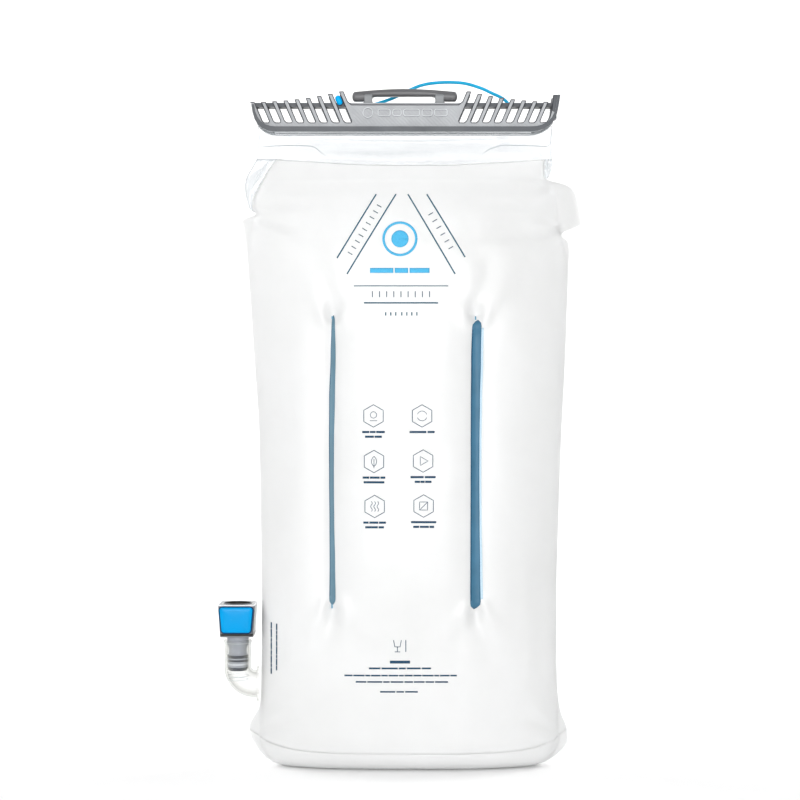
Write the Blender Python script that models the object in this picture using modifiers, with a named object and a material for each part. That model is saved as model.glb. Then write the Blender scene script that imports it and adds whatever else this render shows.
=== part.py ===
"""Soft three-litre drinking-water reservoir with a slide-off closure bar.

Millimetres in the tables and functions, metres in the scene. +Z is up, the printed
front faces -Y, +X is to the right in the front view, and the origin is the middle of
the flat under the base, on the surface the reservoir stands on.
"""
import math

import bmesh
import bpy
from mathutils import Matrix, Vector

MM = 0.001
GAP = 0.3            # clearance between neighbours that touch

# ---- film body -------------------------------------------------------------
FILM = 0.8           # wall of the film solids
BODY_BOTTOM = 20.6   # where the panels meet the base gusset
BODY_TOP = 371.0     # where the frosted panels meet the clear neck
TOP_SAG = 5.0        # how far that line dips in the middle
SIDE_GAP = 0.5       # from the mid plane to the edge of either panel
PULL = 3.0           # how far each inner wall holds the panels in
# height, left edge, right edge, half depth, squareness of the section
BODY = [
    (0.0, -72.0, 76.0, 20.0, 2.1),
    (3.0, -82.0, 87.0, 23.5, 2.1),
    (8.0, -88.5, 94.5, 25.5, 2.1),
    (14.0, -92.5, 98.0, 27.0, 2.1),
    (24.0, -94.0, 99.0, 28.2, 2.2),
    (34.0, -89.6, 95.4, 29.0, 2.5),
    (48.0, -88.2, 93.4, 29.6, 2.7),
    (98.0, -87.7, 92.7, 30.0, 2.7),
    (140.0, -88.3, 93.6, 29.6, 2.7),
    (208.0, -89.5, 96.0, 28.6, 2.6),
    (245.0, -92.0, 98.0, 27.6, 2.6),
    (282.0, -94.4, 99.3, 26.0, 2.5),
    (316.0, -96.9, 100.2, 23.6, 2.5),
    (334.0, -96.6, 99.4, 21.2, 2.4),
    (346.0, -93.5, 96.0, 18.8, 2.3),
    (356.0, -89.0, 92.0, 16.0, 2.2),
    (364.0, -84.4, 90.2, 13.2, 2.2),
    (372.0, -80.0, 89.4, 10.2, 2.2),
]
BASE_RINGS = (0.0, 1.2, 3.6, 8.0, 14.0, 20.2)

# ---- inner walls -----------------------------------------------------------
WALLS = {"left": (-43.8, 3.6), "right": (42.3, 6.2)}   # x of the wall, width of its weld
WALL_LOW, WALL_HIGH = 99.0, 274.0
WALL = 0.8
WELD = 0.6

# ---- neck and mouth --------------------------------------------------------
NECK = 0.5           # clear film
NECK_LEFT, NECK_RIGHT = -90.6, 90.4
NECK_TOP = 391.7

# ---- slide bar -------------------------------------------------------------
BAR_Z = 397.0        # height of the slide axis
BAR_IN, BAR_OUT = 4.2, 7.6      # inner and outer faces of the two combs
SLOT_LOW = 392.6
PLATE_TOP = 403.5
RAIL_LOW, RAIL_TOP = 402.7, 405.1
RIB = 1.4            # half of a rib, across
PITCH = 6.78
SLANT = math.tan(math.radians(23.0))
FIN_RISE = 6.4
SLOT_ROUND = 1.1     # corner at the foot of each slot
LIP_LOW, LIP_TOP, LIP_IN, LIP_OUT = 386.9, 389.8, 1.3, 8.6
# rim along the bar's lower edge and round its ends, outer line and inner line
RIM_OUTER = [(-93.6, 403.6), (-92.8, 398.6), (-91.5, 394.4), (-89.5, 391.2), (-86.6, 388.8),
             (-82.8, 387.3), (-79.0, 386.9), (76.4, 386.9), (80.4, 387.3), (84.6, 388.7),
             (88.2, 390.9), (90.9, 394.0), (92.5, 398.0), (93.5, 403.0), (94.5, 409.4)]
RIM_INNER = [(93.0, 409.4), (92.0, 403.0), (90.9, 398.8), (89.2, 395.4), (86.6, 392.9), (83.4, 391.2),
             (80.0, 390.3), (76.4, 390.1), (-79.0, 390.1), (-82.0, 390.4), (-85.0, 391.4),
             (-87.8, 393.3), (-89.8, 396.0), (-91.2, 399.4), (-92.0, 403.6)]

# ---- handle ----------------------------------------------------------------
GRIP_UNDER = 409.6
GRIP_DEPTH = 6.0

# ---- hose connector --------------------------------------------------------
PORT_X = -102.4
PORT_Z = 50.0        # axis of the elbow's outlet into the bag
ELBOW_R, ELBOW_BORE, ELBOW_BEND = 8.4, 7.0, 10.2
SHELL_LOW, SHELL_TOP = 79.7, 99.3
SOCKET_R, SOCKET_LOW = 8.1, 88.0
STEM_LOW = 58.2
CHAMBER_R, SEAT_LOW, ORIFICE_R = 5.4, 86.5, 3.0
BUTTON_BACK, BUTTON_FRONT = -11.4, -13.6
LATCH_LOW, LATCH_TOP = 90.3, 91.3
PRESS_Z = 85.8       # axis of the button's spring

# ---- tether ----------------------------------------------------------------
CORD_R = 1.0
BEAD = Vector((-40.3, -6.6, 406.3))   # in front of the rail, between two ribs
BEAD_R, BEAD_HALF = 1.85, 3.1
ANCHOR_X, ANCHOR_WIDE = 60.2, 7.0
ANCHOR_TOP = 392.0
ANCHOR_EYE = (11.2, 391.0)      # Y and Z of the round end of the tab
TETHER = [
    (-40.6, -4.4, 407.1), (-41.1, 0.4, 408.2), (-41.0, 4.8, 408.4), (-40.2, 8.4, 407.8),
    (-37.8, 10.7, 406.4), (-34.0, 11.2, 405.2), (-29.6, 11.2, 404.7), (-25.0, 11.2, 405.0),
    (-18.6, 11.2, 406.8), (-7.5, 11.2, 410.6), (4.6, 11.2, 416.4), (11.1, 11.2, 418.8),
    (18.3, 11.2, 420.0), (27.3, 11.2, 420.4), (37.2, 11.2, 419.7), (47.1, 11.2, 416.8),
    (53.6, 11.2, 413.8), (58.2, 11.2, 411.7), (61.9, 11.2, 409.4), (64.3, 11.2, 406.3),
    (64.3, 11.2, 402.9), (62.9, 11.2, 399.6), (61.3, 11.2, 396.5), (60.2, 11.2, 393.4),
]


def clear_scene():
    for o in list(bpy.data.objects):
        bpy.data.objects.remove(o, do_unlink=True)


def collection(name):
    found = bpy.data.collections.get(name) or bpy.data.collections.new(name)
    if name not in bpy.context.scene.collection.children:
        bpy.context.scene.collection.children.link(found)
    return found


def material(name, colour, roughness, metallic=0.0, alpha=1.0):
    m = bpy.data.materials.get(name) or bpy.data.materials.new(name)
    m.use_nodes = True
    shader = m.node_tree.nodes["Principled BSDF"]
    shader.inputs["Base Color"].default_value = (*colour, 1.0)
    shader.inputs["Roughness"].default_value = roughness
    shader.inputs["Metallic"].default_value = metallic
    shader.inputs["Alpha"].default_value = alpha
    m.diffuse_color = (*colour, alpha)
    return m


def put(o, mat, cutter=False):
    """Link an object to its collection, with its material or as a hidden cutter."""
    for c in list(o.users_collection):
        c.objects.unlink(o)
    collection("cutters" if cutter else "hydration_bladder").objects.link(o)
    if cutter:
        o.hide_render = True
        o.display_type = "WIRE"
    elif mat is not None:
        o.data.materials.clear()
        o.data.materials.append(mat)
    return o


def finish(o, smooth=True, angle=35.0):
    if smooth:
        o.data.shade_smooth()
        o.data.set_sharp_from_angle(angle=math.radians(angle))
    return o


def mesh_object(name, verts, faces, mat, origin=(0, 0, 0), cutter=False):
    """A mesh from points in millimetres, with its own origin."""
    at = Vector(origin)
    me = bpy.data.meshes.new(name)
    me.from_pydata([(Vector(v) - at) * MM for v in verts], [], faces)
    me.update()
    o = bpy.data.objects.new(name, me)
    o.location = at * MM
    return put(o, mat, cutter)


def bmesh_object(name, bm, mat, origin, cutter=False):
    """An object from a bmesh drawn in metres around its own origin."""
    me = bpy.data.meshes.new(name)
    bmesh.ops.recalc_face_normals(bm, faces=bm.faces[:])
    bm.to_mesh(me)
    bm.free()
    o = bpy.data.objects.new(name, me)
    o.location = Vector(origin) * MM
    return put(o, mat, cutter)


def box(name, low, high, mat=None, cutter=False):
    low, high = Vector(low), Vector(high)
    bm = bmesh.new()
    bmesh.ops.create_cube(bm, size=1.0)
    size = (high - low) * MM
    bmesh.ops.scale(bm, vec=size, verts=bm.verts[:])
    return bmesh_object(name, bm, mat, (low + high) / 2, cutter)


def cylinder(name, radius, start, end, mat=None, sides=32, cutter=False):
    """A cylinder between two points."""
    start, end = Vector(start), Vector(end)
    along = end - start
    bm = bmesh.new()
    bmesh.ops.create_cone(bm, cap_ends=True, segments=sides, radius1=radius * MM,
                          radius2=radius * MM, depth=along.length * MM)
    turn = Vector((0, 0, 1)).rotation_difference(along).to_matrix()
    bmesh.ops.rotate(bm, matrix=turn, verts=bm.verts[:])
    return bmesh_object(name, bm, mat, (start + end) / 2, cutter)


def turned(name, profile, mat, origin, steps=32, closed=True, cutter=False):
    """A turned piece: (radius, height above the origin), down the outer side first."""
    me = bpy.data.meshes.new(name)
    count = len(profile)
    edges = [(i, i + 1) for i in range(count - 1)] + ([(count - 1, 0)] if closed else [])
    me.from_pydata([(r * MM, 0, z * MM) for r, z in profile], edges, [])
    o = bpy.data.objects.new(name, me)
    o.location = Vector(origin) * MM
    screw = o.modifiers.new("turn", "SCREW")
    screw.axis = "Z"
    screw.steps = steps
    screw.render_steps = steps
    screw.use_merge_vertices = True
    screw.merge_threshold = 0.00001
    return put(o, mat, cutter)


def tube(name, points, radius, mat, origin=(0, 0, 0), resolution=2, cutter=False):
    """A round wire, cord or pipe along points in millimetres."""
    at = Vector(origin)
    cu = bpy.data.curves.new(name, "CURVE")
    cu.dimensions = "3D"
    cu.bevel_depth = radius * MM
    cu.bevel_resolution = resolution
    cu.use_fill_caps = True
    spline = cu.splines.new("POLY")
    spline.points.add(len(points) - 1)
    for p, q in zip(spline.points, points):
        p.co = (*((Vector(q) - at) * MM), 1.0)
    o = bpy.data.objects.new(name, cu)
    o.location = at * MM
    return put(o, mat, cutter)


def outline(name, points, thickness, mat, origin, turn, cutter=False):
    """A flat outline in its own XY plane, given a thickness and turned into place."""
    cu = bpy.data.curves.new(name, "CURVE")
    cu.dimensions = "2D"
    cu.fill_mode = "BOTH"
    cu.extrude = thickness / 2 * MM
    spline = cu.splines.new("POLY")
    spline.points.add(len(points) - 1)
    for p, (a, b) in zip(spline.points, points):
        p.co = (a * MM, b * MM, 0.0, 1.0)
    spline.use_cyclic_u = True
    o = bpy.data.objects.new(name, cu)
    o.rotation_euler = turn
    o.location = Vector(origin) * MM
    put(o, mat, cutter)
    return as_mesh(o, cutter)


UPRIGHT = (math.pi / 2, 0, 0)                 # outline X, Y become world X, Z
ACROSS = (math.pi / 2, 0, math.pi / 2)        # outline X, Y become world Y, Z


def as_mesh(curve, cutter=False):
    """The curve's evaluated mesh, with its caps welded, in place of the curve."""
    bpy.context.view_layer.update()
    graph = bpy.context.evaluated_depsgraph_get()
    me = bpy.data.meshes.new_from_object(curve.evaluated_get(graph))
    bm = bmesh.new()
    bm.from_mesh(me)
    bmesh.ops.remove_doubles(bm, verts=bm.verts[:], dist=0.000002)
    bmesh.ops.recalc_face_normals(bm, faces=bm.faces[:])
    bm.to_mesh(me)
    bm.free()
    name, place = curve.name, curve.matrix_world.copy()
    mat = curve.data.materials[0] if curve.data.materials else None
    bpy.data.objects.remove(curve, do_unlink=True)
    o = bpy.data.objects.new(name, me)
    o.matrix_world = place
    me.name = name
    return put(o, mat, cutter)


def boolean(o, other, operation="DIFFERENCE"):
    m = o.modifiers.new(operation.lower(), "BOOLEAN")
    m.operation = operation
    m.solver = "EXACT"
    m.object = other
    return o


def solidify(o, thickness=FILM):
    m = o.modifiers.new("film", "SOLIDIFY")
    m.thickness = thickness * MM
    m.offset = -1.0
    return o


def smooth_table(table, z):
    """Every column of a table at height z, along a smooth curve through its rows."""
    z = min(max(z, table[0][0]), table[-1][0])
    k = max(i for i in range(len(table) - 1) if table[i][0] <= z)
    a, b = table[k], table[k + 1]
    before, after = table[max(k - 1, 0)], table[min(k + 2, len(table) - 1)]
    h = b[0] - a[0]
    t = (z - a[0]) / h
    out = []
    for c in range(1, len(a)):
        m0 = (b[c] - before[c]) / (b[0] - before[0]) * h
        m1 = (after[c] - a[c]) / (after[0] - a[0]) * h
        out.append((2 * t**3 - 3 * t**2 + 1) * a[c] + (t**3 - 2 * t**2 + t) * m0
                   + (3 * t**2 - 2 * t**3) * b[c] + (t**3 - t**2) * m1)
    return out


def pull(x, z):
    """How far the inner walls hold the film in at a point of a panel."""
    reach = min(max((z - WALL_LOW + 12) / 24, 0), 1) * min(max((WALL_HIGH + 12 - z) / 24, 0), 1)
    return PULL * reach * sum(math.exp(-(((x - at) / 11.0) ** 2)) for at, _ in WALLS.values())


def film_y(x, z, inset=0.0):
    """Distance of the body film from the mid plane at x, z."""
    left, right, depth, square = smooth_table(BODY, z)
    u = min(abs(2 * x - left - right) / (right - left), 1.0)
    return SIDE_GAP + depth * (1 - u**square) ** (1 / square) - pull(x, z) - inset


def film_point(angle, z, side):
    left, right, depth, square = smooth_table(BODY, z)
    s, c = math.sin(angle), math.cos(angle)
    u = math.copysign(abs(s) ** (2 / square), s)
    x = (left + right) / 2 + u * (right - left) / 2
    y = SIDE_GAP + max(depth * abs(c) ** (2 / square) - pull(x, z), 0.0)
    return Vector((x, side * y, z))


def top_line(x):
    """Height of the seam between the frosted body and the clear neck."""
    left, right, _, _ = smooth_table(BODY, BODY_TOP)
    u = min(abs(2 * x - left - right) / (right - left), 1.0)
    return BODY_TOP - TOP_SAG * (1 - u * u)


def grid(name, rows, mat, flip, thickness):
    """A film sheet lofted through rows of points, outer side first."""
    wide = len(rows[0])
    verts = [p for row in rows for p in row]
    faces = []
    for j in range(len(rows) - 1):
        for i in range(wide - 1):
            a = j * wide + i
            quad = (a, a + 1, a + wide + 1, a + wide)
            faces.append(quad[::-1] if flip else quad)
    o = mesh_object(name, verts, faces, mat)
    return solidify(finish(o), thickness)


def body_panels(film, port):
    """Front and back panels of the bag, meeting along the sides."""
    across, up = 16, 16
    for name, side in (("front_panel", -1), ("back_panel", 1)):
        rows = []
        for j in range(up + 1):
            row = []
            for i in range(across + 1):
                angle = math.pi * (i / across - 0.5)
                top = top_line(film_point(angle, BODY_TOP, side).x)
                z = BODY_BOTTOM + (top - BODY_BOTTOM) * j / up
                row.append(film_point(angle, z, side))
            rows.append(row)
        boolean(grid(name, rows, film, side > 0, FILM), port)


def base_gusset(film):
    """The rounded bottom, flat where it stands."""
    around = 40
    verts, faces = [], []
    for z in BASE_RINGS:
        for i in range(around):
            a = 2 * math.pi * i / around
            p = film_point(math.asin(max(-1.0, min(1.0, math.sin(a)))), z, 1)
            verts.append(Vector((p.x, math.copysign(p.y, math.cos(a)), z)))
    for j in range(len(BASE_RINGS) - 1):
        for i in range(around):
            a, b = j * around + i, j * around + (i + 1) % around
            faces.append((a, a + around, b + around, b))
    faces.append(tuple(range(around)))
    o = mesh_object("base_gusset", verts, faces, film)
    bm = bmesh.new()
    bm.from_mesh(o.data)
    bmesh.ops.remove_doubles(bm, verts=bm.verts[:], dist=0.0004)
    bmesh.ops.recalc_face_normals(bm, faces=bm.faces[:])
    bm.to_mesh(o.data)
    bm.free()
    solidify(finish(o), FILM)


def inner_walls(blue):
    """The two walls that hold the bag flat, with the weld bands on both panels."""
    steps = 14
    for label, (at, width) in WALLS.items():
        heights = [WALL_LOW + (WALL_HIGH - WALL_LOW) * k / steps for k in range(steps + 1)]
        clear = FILM + GAP + WELD + GAP
        front = [(-film_y(at, z, clear), z) for z in heights]
        back = [(film_y(at, z, clear), z) for z in reversed(heights)]
        outline(f"{label}_inner_wall", front + back, WALL, blue, (at, 0, 0), ACROSS)
        for face, side in (("front", -1), ("back", 1)):
            rows = []
            for z in heights:
                rows.append([Vector((x, side * film_y(x, z, FILM + GAP), z))
                             for x in (at - width / 2, at, at + width / 2)])
            grid(f"{label}_{face}_weld_band", rows, blue, side > 0, WELD)


def neck_levels(x):
    """Heights of the neck film at x, with its distance from the mid plane."""
    low = top_line(x) + 0.6
    start = max(film_y(x, BODY_TOP, 0.0), 0.85)
    return [(low, start), (low + 5, start * 0.80), (380, start * 0.42 + 0.2),
            (384.3, 1.1), (386.4, 0.85), (NECK_TOP, 0.85)]


def neck_y(x, z):
    """Distance of the neck film from the mid plane at x, z."""
    levels = neck_levels(x)
    for (z0, y0), (z1, y1) in zip(levels, levels[1:]):
        if z0 <= z <= z1:
            return y0 + (y1 - y0) * (z - z0) / (z1 - z0)
    return levels[-1][1]


def neck(clear):
    """Clear film from the body up through the bar."""
    across = 18
    for name, side in (("front_neck_film", -1), ("back_neck_film", 1)):
        columns = []
        for i in range(across + 1):
            x = NECK_LEFT + (NECK_RIGHT - NECK_LEFT) * i / across
            columns.append([Vector((x, side * max(y, 0.85), z)) for z, y in neck_levels(x)])
        rows = [[c[k] for c in columns] for k in range(len(columns[0]))]
        grid(name, rows, clear, side > 0, NECK)


def mouth(clear, stiff):
    """The mouth rolled over its stiffener, inside the bar."""
    fold = [(-0.9, 392.1), (2.4, 392.1), (2.4, 401.0), (1.7, 401.7), (-1.7, 401.7), (-2.4, 401.0),
            (-2.4, 393.4), (-1.4, 393.4), (-1.4, 400.6), (1.4, 400.6), (1.4, 393.1), (-0.9, 393.1)]
    middle, long = (NECK_LEFT + NECK_RIGHT) / 2, NECK_RIGHT - NECK_LEFT
    outline("folded_mouth", fold, long, clear, (middle, 0, 0), ACROSS)
    strip = [(-0.8, 393.6), (0.8, 393.6), (0.8, 400.1), (-0.8, 400.1)]
    outline("mouth_stiffener", strip, long - 2.0, stiff, (middle, 0, 0), ACROSS)


def side_folds(clear, film):
    """The flat clear fin on the left and the folded lug on the right."""
    def beside(z, out):
        left, right, _, _ = smooth_table(BODY, z)
        return left - 0.9 if out < 0 else right + 0.9

    heights = (370.6, 366, 361, 356, 351, 346, 342)
    fin = [(-91.2, 371.0), (-92.2, 367.8), (-95.6, 361.0), (-97.7, 355.0), (-98.2, 348.5),
           (-97.2, 343.0), (-96.2, 341.2)]
    outline("left_side_fin", fin + [(beside(z, -1), z) for z in reversed(heights)], 1.0, clear,
            (0, 0, 0), UPRIGHT)
    lug = [(93.4, 356.6), (98.4, 357.4), (102.9, 355.2), (105.3, 347.8), (107.0, 338.0),
           (108.6, 331.0), (103.6, 327.6)]
    heights = (325.6, 330, 336, 341, 346, 351, 354)
    outline("right_side_lug", lug + [(beside(z, 1), z) for z in heights], 2.4, film,
            (0, 0, 0), UPRIGHT)


def comb_outline():
    """One wall of the bar: a plate whose ends are slanted ribs standing up as fins."""
    def fin(x):
        t = (93.0 - abs(x)) / 54.2
        return RAIL_TOP + FIN_RISE * t * t

    def rib(x, top):
        lean = math.copysign(SLANT, -x)
        foot = x + lean * (top - SLOT_LOW)
        side = foot - lean * SLOT_ROUND
        return [(foot - RIB - SLOT_ROUND * 0.8, SLOT_LOW), (side - RIB, SLOT_LOW + SLOT_ROUND),
                (x - RIB, top), (x + RIB, top),
                (side + RIB, SLOT_LOW + SLOT_ROUND), (foot + RIB + SLOT_ROUND * 0.8, SLOT_LOW)]

    left = [-38.8 - PITCH * k for k in range(8, -1, -1)]
    right = [38.9 + 6.7 * k for k in range(8)]
    points = [(-79.0, 387.8), (-82.6, 388.2), (-86.0, 389.5), (-88.8, 391.8), (-90.8, 394.8),
              (-92.1, 398.8), (-93.1, 403.6), (left[0] - RIB, fin(left[0]))]
    points += rib(left[0], fin(left[0]))[3:]
    for x in left[1:-1]:
        points += rib(x, fin(x))
    last = rib(left[-1], fin(left[-1]))
    lean = SLANT * (last[3][1] - PLATE_TOP)
    points += last[:4] + [(last[3][0] + 0.75 * lean, PLATE_TOP + 0.25 * (last[3][1] - PLATE_TOP)),
                          (last[3][0] + lean + 1.6, PLATE_TOP)]
    first = rib(right[0], fin(right[0]))
    lean = SLANT * (first[2][1] - PLATE_TOP)
    points += [(first[2][0] - lean - 1.6, PLATE_TOP),
               (first[2][0] - 0.75 * lean, PLATE_TOP + 0.25 * (first[2][1] - PLATE_TOP))] + first[2:]
    for x in right[1:]:
        points += rib(x, fin(x))
    points += [(86.2, SLOT_LOW + 0.3), (88.0, 395.6), (89.2, 400.0), (90.2, 409.4), (94.5, 409.4),
               (93.0, 403.0), (91.9, 398.6), (90.2, 394.6), (87.6, 391.7), (84.2, 389.6),
               (80.2, 388.3), (76.4, 387.8)]
    return points


def slide_bar(grey):
    """The closure bar: two combs, a top rail, two lips and the stop at its right end."""
    origin = Vector((0, 0, BAR_Z))
    depth = BAR_OUT - BAR_IN
    middle = (BAR_OUT + BAR_IN) / 2
    shape = [(x, z - BAR_Z) for x, z in comb_outline()]
    bar = outline("slide_bar", shape, depth, grey, origin - Vector((0, middle, 0)), UPRIGHT)
    bar.data.transform(Matrix.Translation((0, 0, middle * MM)))
    bar.location = origin * MM
    rear = outline("bar_rear_comb", shape, depth, None, origin + Vector((0, middle, 0)), UPRIGHT,
                   cutter=True)
    rail = box("bar_rail", (-92.6, -BAR_IN - 0.3, RAIL_LOW), (92.6, BAR_IN + 0.3, RAIL_TOP),
               cutter=True)
    stop = box("bar_stop", (91.2, -BAR_IN - 0.3, 395.6), (92.5, BAR_IN + 0.3, 404.0), cutter=True)
    rim = [(x, z - BAR_Z) for x, z in RIM_OUTER + RIM_INNER]
    rim_in = BAR_OUT - 0.5
    lips = []
    for label, side in (("front", -1), ("rear", 1)):
        lips.append(outline(f"bar_{label}_rim", rim, LIP_OUT - rim_in, None,
                            origin + Vector((0, side * (LIP_OUT + rim_in) / 2, 0)), UPRIGHT, cutter=True))
        low, high = sorted((side * LIP_IN, side * (BAR_OUT - 0.25)))
        lips.append(box(f"bar_{label}_lip", (-79.6, low, LIP_LOW + 0.2), (77.0, high, LIP_TOP),
                        cutter=True))
    for piece in (rail, rear, stop, *lips):
        boolean(bar, piece, "UNION")


def handle(grey):
    """Arched carry handle standing on the bar, one moulding with its two posts."""
    top = [(31.9 - 64.1 * k / 10, 412.3 + 1.9 * math.sin(math.pi * k / 10)) for k in range(11)]
    under = [(-32.4, 409.8), (-31.6, 407.6), (-29.4, 406.6), (-25.1, 406.6), (-25.1, 405.4),
             (-19.9, 405.4), (-19.3, 408.2), (-17.0, GRIP_UNDER), (15.2, GRIP_UNDER),
             (17.8, 408.2), (18.4, 405.4), (23.9, 405.4), (23.9, 406.6), (29.2, 406.6),
             (31.4, 407.6), (32.2, 409.8)]
    o = outline("carry_handle", [(x, z - 409) for x, z in under + top], GRIP_DEPTH, grey,
                (0, 0, 409), UPRIGHT)
    bevel = o.modifiers.new("round", "BEVEL")
    bevel.width = 0.5 * MM
    bevel.segments = 2
    bevel.limit_method = "ANGLE"
    bevel.angle_limit = math.radians(60)
    finish(o)


def smooth_path(points, spacing):
    """Points at even steps along a smooth curve through the given ones."""
    line = []
    last = len(points) - 1
    for k in range(last):
        p0, p1 = Vector(points[max(k - 1, 0)]), Vector(points[k])
        p2, p3 = Vector(points[k + 1]), Vector(points[min(k + 2, last)])
        for s in range(24):
            t = s / 24
            line.append(0.5 * (2 * p1 + (p2 - p0) * t + (2 * p0 - 5 * p1 + 4 * p2 - p3) * t * t
                               + (3 * p1 - p0 - 3 * p2 + p3) * t**3))
    line.append(Vector(points[-1]))
    total = sum((b - a).length for a, b in zip(line, line[1:]))
    count = max(int(total / spacing), 2)
    out, done, k = [line[0]], 0.0, 0
    for n in range(1, count):
        want = total * n / count
        while done + (line[k + 1] - line[k]).length < want:
            done += (line[k + 1] - line[k]).length
            k += 1
        step = line[k + 1] - line[k]
        out.append(line[k] + step * ((want - done) / step.length))
    out.append(line[-1])
    return out


def tether(blue, bright, clear):
    """The keeper cord, its bead on the bar and its anchor on the neck."""
    axis = Vector((0, 0, BAR_Z))
    tube("tether_cord", smooth_path(TETHER, 2.6), CORD_R, blue, axis)
    upper = [(0.0, BEAD_HALF), (0.52, BEAD_HALF - 0.25), (0.87, BEAD_HALF - 1.0), (1.0, BEAD_HALF - 2.0)]
    profile = [(r * BEAD_R, z) for r, z in upper] + [(r * BEAD_R, -z) for r, z in reversed(upper)]
    bead = turned("tether_bead", profile, bright, BEAD, steps=20, closed=False)
    bead.rotation_euler = (0, -math.atan(SLANT), 0)
    eye_y, eye_z = ANCHOR_EYE
    anchor = outline("tether_anchor", anchor_profile(), ANCHOR_WIDE, clear, (ANCHOR_X, 0, 0), ACROSS)
    eye = cylinder("anchor_eye", 2.0, (ANCHOR_X, eye_y - 1.6, eye_z), (ANCHOR_X, eye_y + 1.4, eye_z),
                   sides=24, cutter=True)
    boolean(anchor, eye, "UNION")
    finish(anchor)


def anchor_profile():
    """Side view of the film tab: its foot on the back neck film, then up behind the bar."""
    foot = [(neck_y(ANCHOR_X, z) + NECK + GAP, z) for z in (376.6, 380.0, 383.4)]
    line = foot + [(5.4, 384.6), (9.0, 385.4), (10.2, 387.2), (10.3, 389.6), (10.3, ANCHOR_TOP)]
    back = [(y + 0.75, z) for y, z in foot]
    back += [(5.4, 383.8), (9.4, 384.6), (11.0, 387.0), (11.1, 389.6), (11.1, ANCHOR_TOP)]
    return line + back[::-1]


def elbow(clear, port):
    """Clear moulded elbow from the bag's side up to the connector."""
    def path(start, end):
        corner = (PORT_X + ELBOW_BEND, PORT_Z + ELBOW_BEND)
        arc = [math.radians(180 + 90 * k / 8) for k in range(9)]
        bend = [(corner[0] + ELBOW_BEND * math.cos(a), 0, corner[1] + ELBOW_BEND * math.sin(a))
                for a in arc]
        return [(PORT_X, 0, start)] + bend + [(end, 0, PORT_Z)]

    o = as_mesh(tube("port_elbow", path(77.0, -90.9), ELBOW_R, clear, (PORT_X, 0, PORT_Z), 6))
    bore = tube("elbow_bore", path(80.0, -87.0), ELBOW_BORE, None, (PORT_X, 0, PORT_Z), 6,
                cutter=True)
    boolean(o, as_mesh(bore, True))
    finish(o)
    flange = cylinder("port_flange", 10.6, (-90.5, 0, PORT_Z), (-89.5, 0, PORT_Z), clear, 40)
    boolean(flange, port)
    finish(flange)


def connector(shell_grey, stem_grey, rubber):
    """Quick-connect socket: shell, barbed stem, seals and the seat under the spring."""
    at = Vector((PORT_X, 0, 0))
    high, wide_top, wide_low = SHELL_TOP - SHELL_LOW, 11.2, 10.1
    bm = bmesh.new()
    bmesh.ops.create_cube(bm, size=2.0)
    for v in bm.verts:
        wide = wide_top if v.co.z > 0 else wide_low
        y = -12.5 if v.co.y < 0 else 10.6
        v.co = Vector((v.co.x * wide, y * (wide / wide_top), v.co.z * high / 2)) * MM
    upright = [e for e in bm.edges if abs((e.verts[0].co - e.verts[1].co).z) > 10 * MM]
    bmesh.ops.bevel(bm, geom=upright, offset=2.6 * MM, segments=4, affect="EDGES", profile=0.5)
    shell = bmesh_object("connector_shell", bm, shell_grey, at + Vector((0, 0, SHELL_LOW + high / 2)))

    def down(name, radius, low, top):
        return cylinder(name, radius, at + Vector((0, 0, low)), at + Vector((0, 0, top)),
                        sides=40, cutter=True)

    cuts = [down("socket_cut", SOCKET_R, SOCKET_LOW, SHELL_TOP + 2),
            down("chamber_cut", CHAMBER_R, SHELL_LOW - 2, SEAT_LOW),
            down("orifice_cut", ORIFICE_R, SEAT_LOW - 1, SOCKET_LOW + 1),
            down("seal_groove_cut", 9.0, 93.6, 95.4),
            button_outline("button_pocket_cut", 0.5, -9.7, -15.0, None, True),
            box("latch_slot_cut", at + Vector((-8.9, -13.0, LATCH_LOW - 0.4)),
                at + Vector((8.9, 9.6, LATCH_TOP + 0.4)), cutter=True),
            cylinder("spring_pocket_cut", 1.9, at + Vector((0, -12.0, PRESS_Z)),
                     at + Vector((0, -6.6, PRESS_Z)), sides=20, cutter=True)]
    for c in cuts:
        boolean(shell, c)
    finish(shell)

    high = SHELL_LOW - GAP - STEM_LOW
    barb = [(6.6, high), (6.6, 16.0), (5.9, 14.6), (5.3, 12.0), (5.3, 9.4), (6.4, 8.2), (6.4, 6.6),
            (5.6, 5.6), (6.4, 4.6), (6.4, 2.8), (5.4, 0.0), (3.6, 0.0), (3.6, high - 2.0),
            (5.5, high - 2.0), (5.5, high)]
    finish(turned("barbed_stem", barb, stem_grey, at + Vector((0, 0, STEM_LOW)), 24))

    def ring(name, major, minor, z):
        steps = 8
        loop = [(major + minor * math.cos(-2 * math.pi * k / steps),
                 minor * math.sin(-2 * math.pi * k / steps)) for k in range(steps)]
        return finish(turned(name, loop, rubber, at + Vector((0, 0, z)), 28))

    ring("socket_o_ring", 8.05, 0.75, 94.5)
    seat = [(5.0, 0.5), (5.0, -0.5), (2.0, -0.5), (2.0, 0.5)]
    finish(turned("spring_seat", seat, stem_grey, at + Vector((0, 0, 78.4)), 24))


def valve(grey, rubber, steel):
    """Spring-closed poppet under the socket floor."""
    at = Vector((PORT_X, 0, SEAT_LOW))
    poppet = [(0, 4.4), (1.3, 4.2), (1.8, 3.4), (1.8, -1.4), (4.4, -1.4), (4.4, -2.6), (2.2, -2.6),
              (2.2, -3.4), (0, -3.4)]
    finish(turned("valve_poppet", poppet, grey, at, 24, closed=False))
    seal = [(4.5, -0.35), (4.5, -1.05), (2.15, -1.05), (2.15, -0.35)]
    finish(turned("poppet_seal", seal, rubber, at, 24))
    coil(name="valve_spring", radius=3.4, wire=0.35, turns=3.5, start=Vector((PORT_X, 0, 79.35)),
         axis=Vector((0, 0, 1)), length=4.1, mat=steel)


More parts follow.
